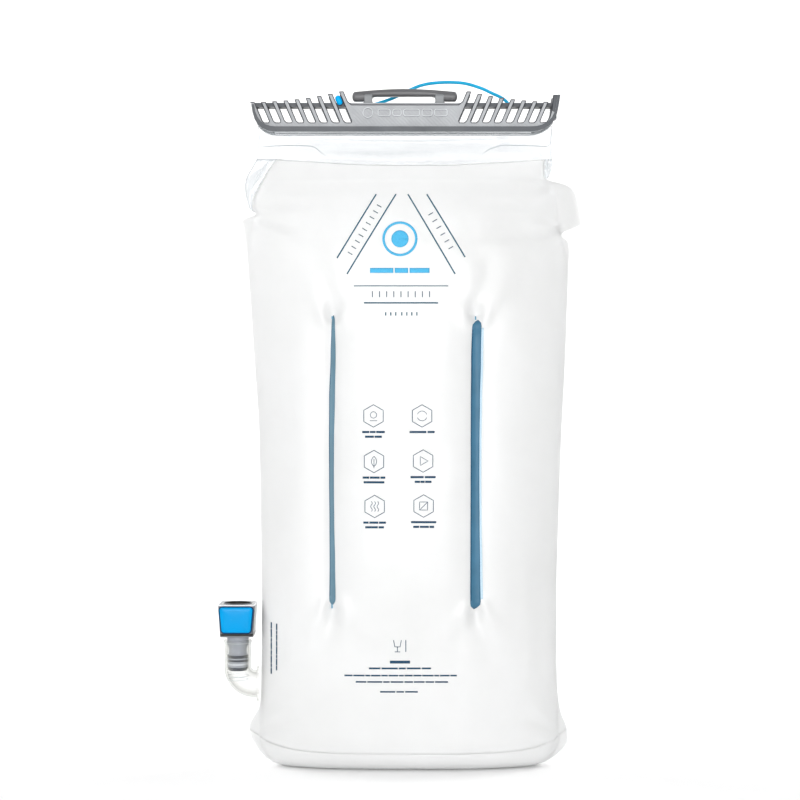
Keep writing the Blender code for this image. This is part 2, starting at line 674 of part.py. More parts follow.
def coil(name, radius, wire, turns, start, axis, length, mat):
    side = axis.orthogonal().normalized()
    other = axis.cross(side)
    count = int(turns * 12)
    points = []
    for k in range(count + 1):
        a = 2 * math.pi * turns * k / count
        points.append(start + side * radius * math.cos(a) + other * radius * math.sin(a)
                      + axis * length * k / count)
    tube(name, points, wire, mat, start, 1)


def button_outline(name, margin, back, front, mat, cutter=False):
    """The push button's rounded, tapering face, between two depths."""
    low, high, wide_low, wide_high, r = 82.7, 98.0, 8.9, 10.0, 1.8
    middle = (low + high) / 2
    corners = [(-wide_low, low), (wide_low, low), (wide_high, high), (-wide_high, high)]
    points = []
    for k, (x, z) in enumerate(corners):
        sx, sz = (1 if x > 0 else -1), (1 if k > 1 else -1)
        cx, cz = x - sx * r, z - sz * r
        for n in range(5):
            t = math.pi / 2 * n / 4
            start = {(-1, -1): math.pi, (1, -1): 1.5 * math.pi, (1, 1): 0.0,
                     (-1, 1): math.pi / 2}[(sx, sz)]
            reach = r + margin
            points.append((cx + reach * math.cos(start + t), cz + reach * math.sin(start + t) - middle))
    return outline(name, points, abs(front - back), mat, (PORT_X, (front + back) / 2, middle),
                   UPRIGHT, cutter)


def release(blue, grey, steel):
    """Push button, the latch plate behind it and their return spring."""
    button = button_outline("release_button", 0.0, BUTTON_BACK, BUTTON_FRONT, blue)
    bevel = button.modifiers.new("round", "BEVEL")
    bevel.width = 0.6 * MM
    bevel.segments = 2
    bevel.limit_method = "ANGLE"
    bevel.angle_limit = math.radians(60)
    finish(button)
    middle = (LATCH_LOW + LATCH_TOP) / 2
    plate = box("latch_plate", (PORT_X - 8.5, BUTTON_BACK + GAP, LATCH_LOW),
                (PORT_X + 8.5, 7.9, LATCH_TOP), grey)
    window = cylinder("latch_window_cut", 8.1, (PORT_X, -0.8, middle - 3),
                      (PORT_X, -0.8, middle + 3), sides=40, cutter=True)
    boolean(plate, window)
    finish(plate)
    coil(name="button_spring", radius=1.3, wire=0.25, turns=3.0,
         start=Vector((PORT_X, BUTTON_BACK + 0.6, PRESS_Z)), axis=Vector((0, 1, 0)), length=3.6,
         mat=steel)


def build():
    clear_scene()
    frosted = material("frosted_film", (0.93, 0.94, 0.95), 0.45, alpha=0.6)
    clear = material("clear_film", (0.94, 0.96, 0.97), 0.12, alpha=0.35)
    blue_film = material("inner_wall_film", (0.09, 0.24, 0.38), 0.4)
    grey = material("bar_grey", (0.34, 0.35, 0.37), 0.42)
    white = material("mouth_strip", (0.86, 0.88, 0.9), 0.4)
    shell_grey = material("shell_grey", (0.42, 0.43, 0.46), 0.35)
    stem_grey = material("stem_grey", (0.33, 0.34, 0.38), 0.4)
    button_blue = material("button_blue", (0.0, 0.42, 0.9), 0.3)
    cord_blue = material("cord_blue", (0.02, 0.4, 0.75), 0.6)
    rubber = material("seal_rubber", (0.04, 0.04, 0.045), 0.7)
    steel = material("spring_steel", (0.62, 0.62, 0.63), 0.28, metallic=1.0)

    port = cylinder("port_cut", 6.4, (-96.0, 0, PORT_Z), (-80.0, 0, PORT_Z), sides=32, cutter=True)
    body_panels(frosted, port)
    base_gusset(frosted)
    inner_walls(blue_film)
    neck(clear)
    mouth(clear, white)
    side_folds(clear, frosted)
    slide_bar(grey)
    handle(grey)
    tether(cord_blue, button_blue, clear)
    elbow(clear, port)
    connector(shell_grey, stem_grey, rubber)
    valve(stem_grey, rubber, steel)
    release(button_blue, stem_grey, steel)


build()
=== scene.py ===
"""Studio picture of a soft drinking-water reservoir with a slide-off closure bar.

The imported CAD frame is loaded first. Every soft solid is replaced here by a finer
piece on the same body, and every hard one keeps its shape and gets its own material.
Lengths in the tables are millimetres in the row frame: +Z up, the front faces -Y.
"""
from math import copysign, cos, dist, exp, hypot, pi, radians, sin, sqrt, tan

import bmesh
import bpy
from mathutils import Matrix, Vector, noise


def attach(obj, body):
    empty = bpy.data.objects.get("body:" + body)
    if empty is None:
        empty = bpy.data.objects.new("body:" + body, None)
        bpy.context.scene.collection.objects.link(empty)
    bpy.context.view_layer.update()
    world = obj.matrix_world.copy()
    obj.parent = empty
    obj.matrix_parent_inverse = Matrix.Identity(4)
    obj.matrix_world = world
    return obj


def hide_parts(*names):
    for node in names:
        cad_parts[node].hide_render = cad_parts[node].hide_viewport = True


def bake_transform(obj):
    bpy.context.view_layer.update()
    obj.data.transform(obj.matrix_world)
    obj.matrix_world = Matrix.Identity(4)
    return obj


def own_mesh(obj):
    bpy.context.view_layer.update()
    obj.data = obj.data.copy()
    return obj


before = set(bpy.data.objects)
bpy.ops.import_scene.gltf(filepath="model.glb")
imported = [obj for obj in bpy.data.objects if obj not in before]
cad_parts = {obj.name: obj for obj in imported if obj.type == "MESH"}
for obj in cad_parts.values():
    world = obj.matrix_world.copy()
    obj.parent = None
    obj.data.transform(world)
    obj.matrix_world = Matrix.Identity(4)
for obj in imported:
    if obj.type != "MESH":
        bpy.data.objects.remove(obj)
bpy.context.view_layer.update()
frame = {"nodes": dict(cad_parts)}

MM = 0.001
RESERVOIR, BAR, RELEASE = "reservoir", "closure_bar", "hose_release"

# ---------------------------------------------------------------- film tables
TOP = 371.0
TOP_SAG = 5.0
SEAM_Z = 11.5
# height, left and right silhouette, left and right edge of the filled part, half depth, squareness
BODY = [
    (0, -71, 75, -70, 74, 10.5, 2.3),
    (0.5, -75, 79.4, -73.4, 77.8, 14.2, 2.3),
    (1.4, -79, 83.6, -77, 81.4, 17.6, 2.3),
    (2.7, -82, 87, -79.6, 84.4, 20.4, 2.3),
    (4.4, -84.8, 90, -82, 87, 22.8, 2.3),
    (8, -88.4, 94.6, -85.2, 90.5, 25.6, 2.3),
    (12, -91.3, 98.6, -87, 92.6, 27, 2.3),
    (18, -94.4, 99.8, -87.8, 93.4, 28, 2.4),
    (25, -95, 98.4, -88, 93.2, 28.6, 2.5),
    (30, -92.4, 96.2, -87.8, 93, 29, 2.5),
    (36, -89.2, 94.6, -87.6, 92.8, 29.3, 2.6),
    (48, -88.2, 93.2, -87.4, 92.4, 29.6, 2.7),
    (98, -87.7, 92.7, -87, 92, 30, 2.7),
    (140, -88.2, 93.6, -87.6, 92.8, 29.6, 2.7),
    (208, -89.5, 96, -88.8, 95.2, 28.6, 2.6),
    (245, -92, 98, -91.2, 97.2, 27.6, 2.6),
    (282, -94.4, 99.3, -93.6, 98.4, 26, 2.5),
    (306, -96.2, 100.3, -95.2, 98.6, 24.4, 2.5),
    (316, -97, 100.6, -95.2, 97.3, 23.6, 2.5),
    (321, -97.6, 99.6, -94.8, 95.8, 23, 2.4),
    (324.2, -98, 96.2, -94.2, 94.8, 22.6, 2.4),
    (326.6, -98.4, 97.4, -93.6, 94.2, 22.3, 2.4),
    (328.8, -98.8, 103, -93, 93.7, 22, 2.4),
    (331.2, -99.3, 107.6, -92.3, 93.3, 21.7, 2.4),
    (333.8, -99.6, 107.8, -91.7, 92.9, 21.3, 2.4),
    (335.6, -96.6, 107.4, -91.3, 92.7, 21, 2.4),
    (337.2, -91.8, 107, -91, 92.5, 20.7, 2.4),
    (341, -93.6, 106.4, -91.4, 92.1, 20, 2.3),
    (347, -93.4, 105.2, -91.6, 91.4, 18.6, 2.3),
    (352, -91.2, 103.4, -90.2, 90, 17.2, 2.2),
    (355.2, -89.4, 99.6, -88.6, 88, 16.2, 2.2),
    (356.8, -88.5, 94.6, -87.7, 86.9, 15.8, 2.2),
    (358, -87.7, 89.2, -86.9, 86.1, 15.4, 2.2),
    (359.4, -86.8, 86.2, -86.1, 85.3, 14.9, 2.2),
    (364, -84.2, 85.4, -83.6, 84.8, 13.2, 2.2),
    (368, -81.6, 85.4, -81, 84.8, 11.7, 2.2),
    (372, -78.6, 85.9, -78, 85.3, 10.2, 2.2),
]
# the two inner walls: where they are, how high they reach and how far they draw the film in
WALLS = {"left": -43.8, "right": 42.3}
WALL_LOW, WALL_HIGH = 99, 274.0
PULL = 3.0
# soft creases in the film: x, z of both ends, depth, width, and the panel's side or 0 for both
CREASES = [
    (-92, 336, -62, 326, 2.4, 4, -1), (-92, 338, -70, 345, 1.2, 4.5, -1), (-90, 352, -74, 366, 1, 4, 0),
    (95, 325, 74, 318, 2.2, 4, -1), (94, 330, 80, 342, 1.1, 5, -1), (86, 356, 70, 344, 1.2, 5, -1),
    (-92, 336, -60, 322, 2, 5, 1), (95, 325, 70, 315, 2, 5, 1), (90, 354, 62, 362, 1, 5, 0),
    (-88, 24, -58, 34, 1.9, 5, -1), (92, 22, 64, 36, 1.9, 5, -1), (-88, 30, -70, 52, 0.9, 5, -1),
    (92, 30, 76, 56, 0.9, 5, -1), (-88, 24, -60, 36, 1.8, 5, 1), (92, 22, 62, 38, 1.8, 5, 1),
    (-43, 274, -52, 312, 1.6, 6, 0), (42, 274, 53, 314, 1.6, 6, 0), (-43, 274, -30, 306, 1, 6, 0),
    (42, 274, 28, 306, 1, 6, 0), (-43, 99, -52, 66, 1.6, 6, 0), (42, 97, 52, 64, 1.6, 6, 0),
    (-43, 99, -32, 72, 1, 6, 0), (42, 97, 30, 70, 1, 6, 0), (-76, 70, -82, 250, 0.7, 7, 0),
    (82, 60, 86, 240, 0.7, 7, 0),
]
NECK_LEFT, NECK_RIGHT, NECK_TOP = -90.6, 90.4, 391.7
NECK_LOW_LEFT, NECK_LOW_RIGHT = -91, 90.2
# the hose port: its upright axis, the height of its level part and the foot of the stem
PORT_X, PORT_Z, STEM_LOW = -102.4, 50, 58.2
# the cord's middle line, from the bead to the anchor
TETHER = [
    (-40.6, -4.4, 407.1), (-41.1, 0.4, 408.2), (-41, 4.8, 408.4), (-40.2, 8.4, 407.8),
    (-37.8, 10.7, 406.4), (-34, 11.2, 405.2), (-29.6, 11.2, 404.7), (-25, 11.2, 405),
    (-18.6, 11.2, 406.8), (-7.5, 11.2, 410.6), (4.6, 11.2, 416.4), (11.1, 11.2, 418.8),
    (18.3, 11.2, 420), (27.3, 11.2, 420.4), (37.2, 11.2, 419.7), (47.1, 11.2, 416.8),
    (53.6, 11.2, 413.8), (58.2, 11.2, 411.7), (61.9, 11.2, 409.4), (64.3, 11.2, 406.3),
    (64.3, 11.2, 402.9), (62.9, 11.2, 399.6), (61.3, 11.2, 396.5), (60.2, 11.2, 393.4),
]


# ------------------------------------------------------------------ materials
def new_material(name):
    """A new material with its node tree and its shader."""
    m = bpy.data.materials.new(name)
    m.use_nodes = True
    return m, m.node_tree, m.node_tree.nodes["Principled BSDF"]


def node(tree, kind, **values):
    """A node with these input values or settings."""
    n = tree.nodes.new(kind)
    for key, value in values.items():
        if key in n.inputs:
            n.inputs[key].default_value = value
        else:
            setattr(n, key, value)
    return n


def constants(n, *pairs):
    """Fixed values on a node's own inputs, as (name, value)."""
    for key, value in pairs:
        n.inputs[key].default_value = value


def tint(tree, shader, source, low, high, start, end):
    """The shader's colour goes from low to high as a texture goes from start to end."""
    r = tree.nodes.new("ShaderNodeValToRGB")
    for e, at, colour in zip(r.color_ramp.elements, (start, end), (low, high)):
        e.position = at
        e.color = (*colour, 1.0)
    tree.links.new(source, r.inputs["Fac"])
    tree.links.new(r.outputs["Color"], shader.inputs["Base Color"])


def vary_input(tree, shader, name, source, low, high):
    """A shader input goes from low to high as a texture goes from 0 to 1."""
    m = tree.nodes.new("ShaderNodeMapRange")
    constants(m, ("To Min", low), ("To Max", high))
    tree.links.new(source, m.inputs["Value"])
    tree.links.new(m.outputs["Result"], shader.inputs[name])


def bumped(tree, shader, layers):
    """Bump from (texture output, distance in metres, strength), one over the other."""
    last = None
    for source, distance, strength in layers:
        b = node(tree, "ShaderNodeBump", Distance=distance, Strength=strength)
        tree.links.new(source, b.inputs["Height"])
        if last is not None:
            tree.links.new(last, b.inputs["Normal"])
        last = b.outputs["Normal"]
    tree.links.new(last, shader.inputs["Normal"])


def noise_texture(tree, scale, detail):
    """A noise texture in the piece's own coordinates, features per metre."""
    where = tree.nodes.new("ShaderNodeTexCoord")
    n = node(tree, "ShaderNodeTexNoise", Scale=scale, Detail=detail, Roughness=0.5)
    tree.links.new(where.outputs["Object"], n.inputs["Vector"])
    return n.outputs["Fac"]


def frosted_film():
    """Milky film: nearly opaque, with a faint cloud and a fine matt grain."""
    m, t, s = new_material("frosted_film")
    cloud = noise_texture(t, 14, 4)
    grain = noise_texture(t, 1500, 2)
    tint(t, s, cloud, (0.90, 0.905, 0.90), (0.935, 0.94, 0.94), 0.3, 0.7)
    vary_input(t, s, "Roughness", noise_texture(t, 60, 3), 0.34, 0.5)
    vary_input(t, s, "Alpha", cloud, 0.86, 0.94)
    constants(s, ("Subsurface Weight", 0.35), ("Subsurface Scale", 0.01),
              ("Subsurface Radius", (1.0, 1.0, 1.0)))
    bumped(t, s, [(grain, 0.00003, 0.35), (noise_texture(t, 45, 2), 0.0006, 0.25)])
    return m


def clear_film(name, colour, thin, edge, wave=0.5):
    """Glossy clear film: thin is its alpha seen square on and edge its alpha seen edge on."""
    m, t, s = new_material(name)
    tint(t, s, noise_texture(t, 30, 3), tuple(c * 0.97 for c in colour), colour, 0.3, 0.7)
    vary_input(t, s, "Roughness", noise_texture(t, 90, 2), 0.06, 0.16)
    facing = node(t, "ShaderNodeLayerWeight", Blend=0.35)
    vary_input(t, s, "Alpha", facing.outputs["Facing"], thin, edge)
    bumped(t, s, [(noise_texture(t, 55, 2), 0.0008, wave), (noise_texture(t, 400, 2), 0.0001, 0.2)])
    return m


def moulded(name, colour, roughness, grain, vary, coat=0.0, hatch=0.0, shine=0.2):
    """Moulded plastic: fine spark texture, slow colour drift and rubbed patches."""
    m, t, s = new_material(name)
    drift = noise_texture(t, 60, 4)
    dark = tuple(c * (1 - vary) for c in colour)
    light = tuple(min(c * (1 + vary), 1.0) for c in colour)
    tint(t, s, drift, dark, light, 0.35, 0.65)
    vary_input(t, s, "Roughness", noise_texture(t, 180, 4), roughness * 0.8, roughness * 1.25)
    constants(s, ("Specular IOR Level", shine), ("Coat Weight", coat), ("Coat Roughness", 0.15))
    layers = [(noise_texture(t, grain, 2), 0.00003, 0.5), (noise_texture(t, 40, 2), 0.0002, 0.15)]
    if hatch:
        where = t.nodes.new("ShaderNodeTexCoord")
        lines = node(t, "ShaderNodeTexWave", Scale=260.0, Distortion=1.5, bands_direction="DIAGONAL")
        t.links.new(where.outputs["Object"], lines.inputs["Vector"])
        layers.append((lines.outputs["Fac"], 0.00012, hatch))
    bumped(t, s, layers)
    return m


def steel_wire():
    """Drawn spring wire."""
    m, t, s = new_material("spring_steel")
    drawn = noise_texture(t, 2500, 3)
    tint(t, s, drawn, (0.5, 0.5, 0.52), (0.68, 0.68, 0.69), 0.3, 0.7)
    constants(s, ("Metallic", 1.0))
    vary_input(t, s, "Roughness", drawn, 0.2, 0.4)
    bumped(t, s, [(drawn, 0.00001, 0.4)])
    return m


def ink(name, colour):
    """Screen-printed ink: nearly flat, with the speckle of the film under it."""
    m, t, s = new_material(name)
    speckle = noise_texture(t, 1800, 3)
    light = tuple(min(c * 1.12 + 0.02, 1.0) for c in colour)
    tint(t, s, speckle, colour, light, 0.35, 0.75)
    vary_input(t, s, "Roughness", speckle, 0.4, 0.6)
    constants(s, ("Specular IOR Level", 0.12))
    bumped(t, s, [(speckle, 0.00002, 0.3)])
    return m


MAT = {
    "frosted": frosted_film(),
    "clear": clear_film("clear_film", (0.61, 0.645, 0.668), 0.14, 0.65),
    "fin": clear_film("fin_clear", (0.52, 0.55, 0.57), 0.42, 0.8),
    "tab": clear_film("tab_clear", (0.85, 0.88, 0.90), 0.02, 0.2, 0.2),
    "elbow": clear_film("elbow_clear", (0.46, 0.47, 0.42), 0.035, 0.62, 0.12),
    "wall": moulded("inner_wall_film", (0.10, 0.26, 0.38), 0.4, 700, 0.08),
    # one blue tape for both weld stripes: the left one's lighter colour is painted light, for the slope
    # it lies on
    "stripe_left": moulded("weld_stripe_left", (0.10, 0.19, 0.25), 0.42, 700, 0.08),
    "stripe_right": moulded("weld_stripe_right", (0.045, 0.14, 0.225), 0.42, 700, 0.08),
    # pale band along the right stripes' edge: painted highlight, made with the ink shader though it is
    # no print; dark band along each stripe's left side: painted shade
    "stripe_painted_highlight": ink("weld_painted_highlight", (0.42, 0.56, 0.66)),
    "stripe_painted_shade": moulded("weld_painted_shade", (0.02, 0.085, 0.155), 0.42, 700, 0.08),
    "film_edge": moulded("film_edge", (0.86, 0.87, 0.85), 0.35, 700, 0.04),
    # grey lines along the clear film's folds, edges and steps: painted shade
    "fold": moulded("fold_painted_shade", (0.30, 0.34, 0.37), 0.3, 700, 0.08),
    "fold_pale": moulded("fold_pale_painted_shade", (0.52, 0.56, 0.59), 0.3, 700, 0.08),
    "mouth": clear_film("mouth_film", (0.84, 0.87, 0.89), 0.05, 0.55, 0.35),
    "strip": clear_film("mouth_strip", (0.86, 0.89, 0.91), 0.06, 0.5, 0.1),
    "grey": moulded("bar_grey", (0.325, 0.335, 0.35), 0.36, 1100, 0.10, hatch=0.5),
    "post": moulded("post_grey", (0.20, 0.21, 0.22), 0.32, 1100, 0.06),
    # dark grey for the bar's side faces and for the lines under its raised outlines: painted shade
    "edge_grey": moulded("bar_side_painted_shade", (0.10, 0.105, 0.115), 0.3, 1100, 0.06),
    "dark_grey": moulded("grip_grey", (0.115, 0.115, 0.12), 0.3, 1100, 0.06),
    # near black for the bar's rail between the combs, its lip and its end tab: painted shade
    "lip": moulded("bar_dark_painted_shade", (0.058, 0.064, 0.073), 0.34, 1100, 0.10),
    # near black for the lines along the comb edges: painted shade
    "line": moulded("bar_edge_line_painted_shade", (0.04, 0.042, 0.05), 0.36, 1100, 0.06),
    # pale grey for the raised outlines on the bar and for its underside: painted highlight and painted
    # reflection
    "mark": moulded("painted_light_grey", (0.58, 0.60, 0.62), 0.3, 1100, 0.05),
    "shell": moulded("shell_grey", (0.155, 0.163, 0.175), 0.24, 1200, 0.05, coat=0.1),
    # near black inside the hose socket and on the shell's lower rim: painted shade
    "shell_painted_shade": moulded("shell_painted_shade", (0.028, 0.028, 0.025), 0.3, 1200, 0.06),
    # pale grey on the shell's upper rim: painted highlight
    "shell_painted_highlight": moulded("shell_painted_highlight", (0.74, 0.75, 0.77), 0.24, 1200, 0.03),
    "stem": moulded("stem_grey", (0.33, 0.35, 0.39), 0.3, 900, 0.06),
    "stem_dark": moulded("stem_band_dark", (0.05, 0.055, 0.075), 0.3, 900, 0.06),
    # paler band on the stem: painted highlight
    "stem_painted_highlight": moulded("stem_band_painted_highlight", (0.62, 0.64, 0.68), 0.24, 900, 0.04),
    # navy ring in the gap round the button: painted shade
    "navy": moulded("button_gap_painted_shade", (0.004, 0.035, 0.10), 0.3, 900, 0.06),
    "blue": moulded("button_blue", (0.0, 0.27, 0.60), 0.26, 1300, 0.03, shine=0.08),
    "bead": moulded("bead_blue", (0.0, 0.35, 0.76), 0.3, 1300, 0.03, shine=0.12),
    "cord": moulded("cord_blue", (0.008, 0.37, 0.63), 0.35, 1600, 0.06, shine=0.12),
    "rubber": moulded("seal_rubber", (0.03, 0.03, 0.034), 0.6, 1500, 0.1),
    "steel": steel_wire(),
    "ink": ink("ink_blue", (0.003, 0.075, 0.125)),
    "ink_light": ink("ink_sky", (0.055, 0.36, 0.60)),
    "ink_grey": ink("ink_slate", (0.014, 0.052, 0.10)),
}


# ----------------------------------------------------------------- mesh tools
def link(o, mat, nodes=(), body=RESERVOIR):
    """A new piece put in the scene on its body, in place of the CAD nodes it stands for."""
    bpy.context.scene.collection.objects.link(o)
    o.data.materials.append(MAT[mat])
    if body:
        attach(o, body)
    if nodes:
        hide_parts(*nodes)
    return o


def mesh(name, verts, faces):
    """A smooth mesh from points in millimetres."""
    me = bpy.data.meshes.new(name)
    me.from_pydata([Vector(v) * MM for v in verts], [], faces)
    me.update()
    me.shade_smooth()
    return bpy.data.objects.new(name, me)


def mix(a, b, t):
    """a at t = 0, b at t = 1."""
    return a + (b - a) * t


def sheet_faces(rows, wide, flip=False, start=0, cyclic=False):
    """Quads of a grid of points whose rows are wide points long, closed round if cyclic."""
    faces = []
    for j in range(rows - 1):
        for i in range(wide if cyclic else wide - 1):
            k = (i + 1) % wide
            a, b = start + j * wide + i, start + j * wide + k
            quad = (a, b, b + wide, a + wide)
            faces.append(quad[::-1] if flip else quad)
    return faces


def thicken(o, thickness, offset=-1.0):
    """Gives a sheet its thickness in millimetres."""
    m = o.modifiers.new("film", "SOLIDIFY")
    m.thickness = thickness * MM
    m.offset = offset


def rounded(o, width):
    """Flat facets merged, then every hard edge given a small radius."""
    d = o.modifiers.new("flat", "DECIMATE")
    d.decimate_type = "DISSOLVE"
    d.angle_limit = radians(1.0)
    b = o.modifiers.new("edges", "BEVEL")
    b.width = width * MM
    b.segments = 3
    b.limit_method = "ANGLE"
    b.angle_limit = radians(35)
    b.harden_normals = True
    b.use_clamp_overlap = True
    o.data.shade_smooth()


def table_at(table, z):
    """Every column of a table at height z, along a smooth curve through its rows."""
    z = min(max(z, table[0][0]), table[-1][0])
    k = max(i for i in range(len(table) - 1) if table[i][0] <= z)
    a, b = table[k], table[k + 1]
    before, after = table[max(k - 1, 0)], table[min(k + 2, len(table) - 1)]
    h = b[0] - a[0]
    t = (z - a[0]) / h
    out = []
    for c in range(1, len(a)):
        m0 = (b[c] - before[c]) / (b[0] - before[0]) * h
        m1 = (after[c] - a[c]) / (after[0] - a[0]) * h
        out.append((2 * t**3 - 3 * t**2 + 1) * a[c] + (t**3 - 2 * t**2 + t) * m0
                   + (3 * t**2 - 2 * t**3) * b[c] + (t**3 - t**2) * m1)
    return out


def fade(x, low, high):
    """0 at low to 1 at high, with soft ends."""
    t = min(max((x - low) / (high - low), 0.0), 1.0)
    return t * t * (3 - 2 * t)


def bell(x, middle, width):
    """1 at middle, falling to 0 within about two widths."""
    return exp(-(((x - middle) / width) ** 2))


def pull(x, z):
    """How far the inner walls draw the film in: a wide dip with a narrow one in it."""
    reach = fade(z, WALL_LOW - 14, WALL_LOW + 12) * (1 - fade(z, WALL_HIGH - 12, WALL_HIGH + 14))
    return PULL * reach * sum(0.55 * bell(x, at, 13.0) + 0.45 * bell(x, at, 4.0)
                              for at in WALLS.values())


def creases(x, z, side):
    """Depth of the soft creases at x, z, each with a low ridge beside it."""
    total = 0.0
    for x0, z0, x1, z1, depth, width, only in CREASES:
        if only and only != side:
            continue
        ax, az = x1 - x0, z1 - z0
        t = min(max(((x - x0) * ax + (z - z0) * az) / (ax * ax + az * az), 0.0), 1.0)
        d = hypot(x - x0 - ax * t, z - z0 - az * t)
        if d < 3.5 * width:
            fall = (1 - t) ** 0.8
            wide = width * (0.6 + 0.8 * t)
            total += depth * fall * (bell(d, 0.0, wide) - 0.45 * bell(d, 1.7 * wide, wide))
    return total


def film_y(x, z, side, wrinkled=True):
    """Distance of the film from the mid plane at x, z."""
    left, right, inner_left, inner_right, depth, square = table_at(BODY, z)
    middle = (inner_left + inner_right) / 2
    u = abs(x - middle) * 2 / (inner_right - inner_left)
    core = depth * (1 - u**square) ** (1 / square) - pull(x, z) if u < 1 else 0.0
    ear, along = (inner_left - left, x - left) if x < middle else (right - inner_right, right - x)
    swell = 1.3 + min(0.42 * max(ear - 1.2, 0.0), 4.4) * fade(u, 0.7, 1.0)
    tail = 0.3 + swell * fade(along / max(ear, 0.6), 0.0, 1.25)
    y = sqrt(core * core + tail * tail)
    if wrinkled:
        rim = fade(u, 1.0, 0.86)
        soft = noise.noise(Vector((x * 0.018, z * 0.012, 3.0 * side))) * 1.1
        fine = noise.noise(Vector((x * 0.06, z * 0.035, 9.0 + side))) * 0.35
        y += (soft + fine) * rim - creases(x, z, side) * fade(u, 1.02, 0.97)
    return max(y, 0.3)


def top_line(x):
    """Height of the frosted film's top edge, which sags in the middle."""
    left, right = table_at(BODY, TOP)[:2]
    u = min(abs(2 * x - left - right) / (right - left), 1.0)
    return TOP - TOP_SAG * (1 - u * u) + 0.35 * noise.noise(Vector((x * 0.05, 1.0, 0)))


def seam_line(x):
    """Height of the weld between the panels and the base: higher at the corners."""
    return SEAM_Z + 9.0 * (abs(x - 2.0) / 95.0) ** 6


# ------------------------------------------------------------------- the film
def heights():
    """Row heights of the panels: closer together where the folds are."""
    z, out = SEAM_Z, []
    while z < TOP:
        out.append(z)
        z += 0.9 if 319 < z < 361 else 2.0
    return out + [TOP]


def spread(i, count):
    """0 to 1 in even steps that close up towards both ends."""
    v = 2 * i / count - 1
    return 0.5 + 0.5 * (1.122 * v - 0.122 * v**9)


def panel(name, nodes, side):
    """Front (-1) or back (1) film from the base weld to the top edge."""
    across, levels = 150, heights()
    verts = []
    for level in levels:
        for i in range(across + 1):
            s, z = spread(i, across), level
            for _ in range(2):
                x = mix(*table_at(BODY, z)[:2], s)
                z = level + (top_line(x) - TOP) * fade(level, 340, TOP)
                z += (seam_line(x) - SEAM_Z) * (1 - fade(level, SEAM_Z, 60))
            x = mix(*table_at(BODY, z)[:2], s)
            y = side * film_y(x, z, side) if 0 < i < across else 0.0
            verts.append((x, y, z))
    o = mesh(name, verts, sheet_faces(len(levels), across + 1, side > 0))
    thicken(o, 0.35)
    link(o, "frosted", nodes)


def base():
    """Base gusset under the panels, with its flat sole."""
    around = 200
    levels = [12.0, 10.8, 9.6, 8.2, 6.8, 5.4, 4.2, 3.0, 2.0, 1.2, 0.6, 0.2, 0.02]
    verts = []
    for level in levels:
        tuck = 0.03 if level > SEAM_Z else 0.0
        for i in range(around):
            a = 2 * pi * i / around
            s, z = 0.5 + 0.5 * sin(a), level
            for _ in range(2):
                x = mix(*table_at(BODY, z)[:2], s)
                z = level * (1 + (seam_line(x) / SEAM_Z - 1) * level / SEAM_Z)
            left, right = table_at(BODY, z)[:2]
            x = mix(left + tuck, right - tuck, s)
            side = -1 if cos(a) > 0 else 1
            flat = abs(cos(a)) < 0.002
            verts.append((x, 0.0 if flat else side * max(film_y(x, z, side) - tuck, 0.1), z))
    count = len(levels)
    for shrink, z in ((0.9, 0.02), (0.6, 0.5), (0.25, 0.8)):
        for i in range(around):
            x, y, _ = verts[(count - 1) * around + i]
            verts.append(((x - 2) * shrink + 2, y * shrink, z))
    faces = sheet_faces(count + 3, around, cyclic=True, flip=True)
    faces.append(tuple((count + 2) * around + i for i in range(around)))
    o = mesh("base_gusset_film", verts, faces)
    outward(o)
    thicken(o, 0.35)
    link(o, "frosted", ["base_gusset"])
    for label, side in (("front", -1), ("back", 1)):
        for part, lift, radius in (("weld", 0.1, 0.13), ("crease", 4.3, 0.06)):
            line = []
            for k in range(121):
                x = mix(-84.0, 88.0, k / 120)
                z = seam_line(x) + lift + 0.25 * noise.noise(Vector((x * 0.05, lift, side)))
                line.append((x, side * (film_y(x, z, side) + 0.02), z))
            line_tube(f"base_{part}_{label}", line, radius, "frosted")


def outward(o, sharp=None):
    """Turn a closed mesh's faces outwards and keep its edges above the angle sharp hard."""
    bm = bmesh.new()
    bm.from_mesh(o.data)
    bmesh.ops.recalc_face_normals(bm, faces=bm.faces[:])
    bm.to_mesh(o.data)
    bm.free()
    if sharp:
        o.data.set_sharp_from_angle(angle=radians(sharp))


def fix_outward(o, side):
    """Turn the sheet's faces so that they look out of the bag."""
    me = o.data
    me.update()
    total = sum(p.normal.y * p.area for p in me.polygons)
    if total * side < 0:
        me.flip_normals()


def along(table, t):
    """Value at t from evenly spaced values, smoothly."""
    k = min(int(t * (len(table) - 1)), len(table) - 2)
    f = fade(t * (len(table) - 1) - k, 0.0, 1.0)
    return mix(table[k], table[k + 1], f)


# half widths and centre offsets of each weld stripe from its lower to its upper end
STRIPES = {
    "left": ((1.9, 1.6, 1.4, 1.4, 1.5, 1.7, 1.5, 0.9), (0.3, 0.2, -0.1, -0.3, -0.3, 0.0, 0.6, 0.7),
             101.2, 274.5),
    "right": ((3.1, 2.9, 2.7, 2.6, 2.6, 2.7, 2.9, 2.8), (-0.3, -0.4, -0.5, -0.5, -0.4, -0.2, 0.2, 0.7),
              99.0, 271.4),
}


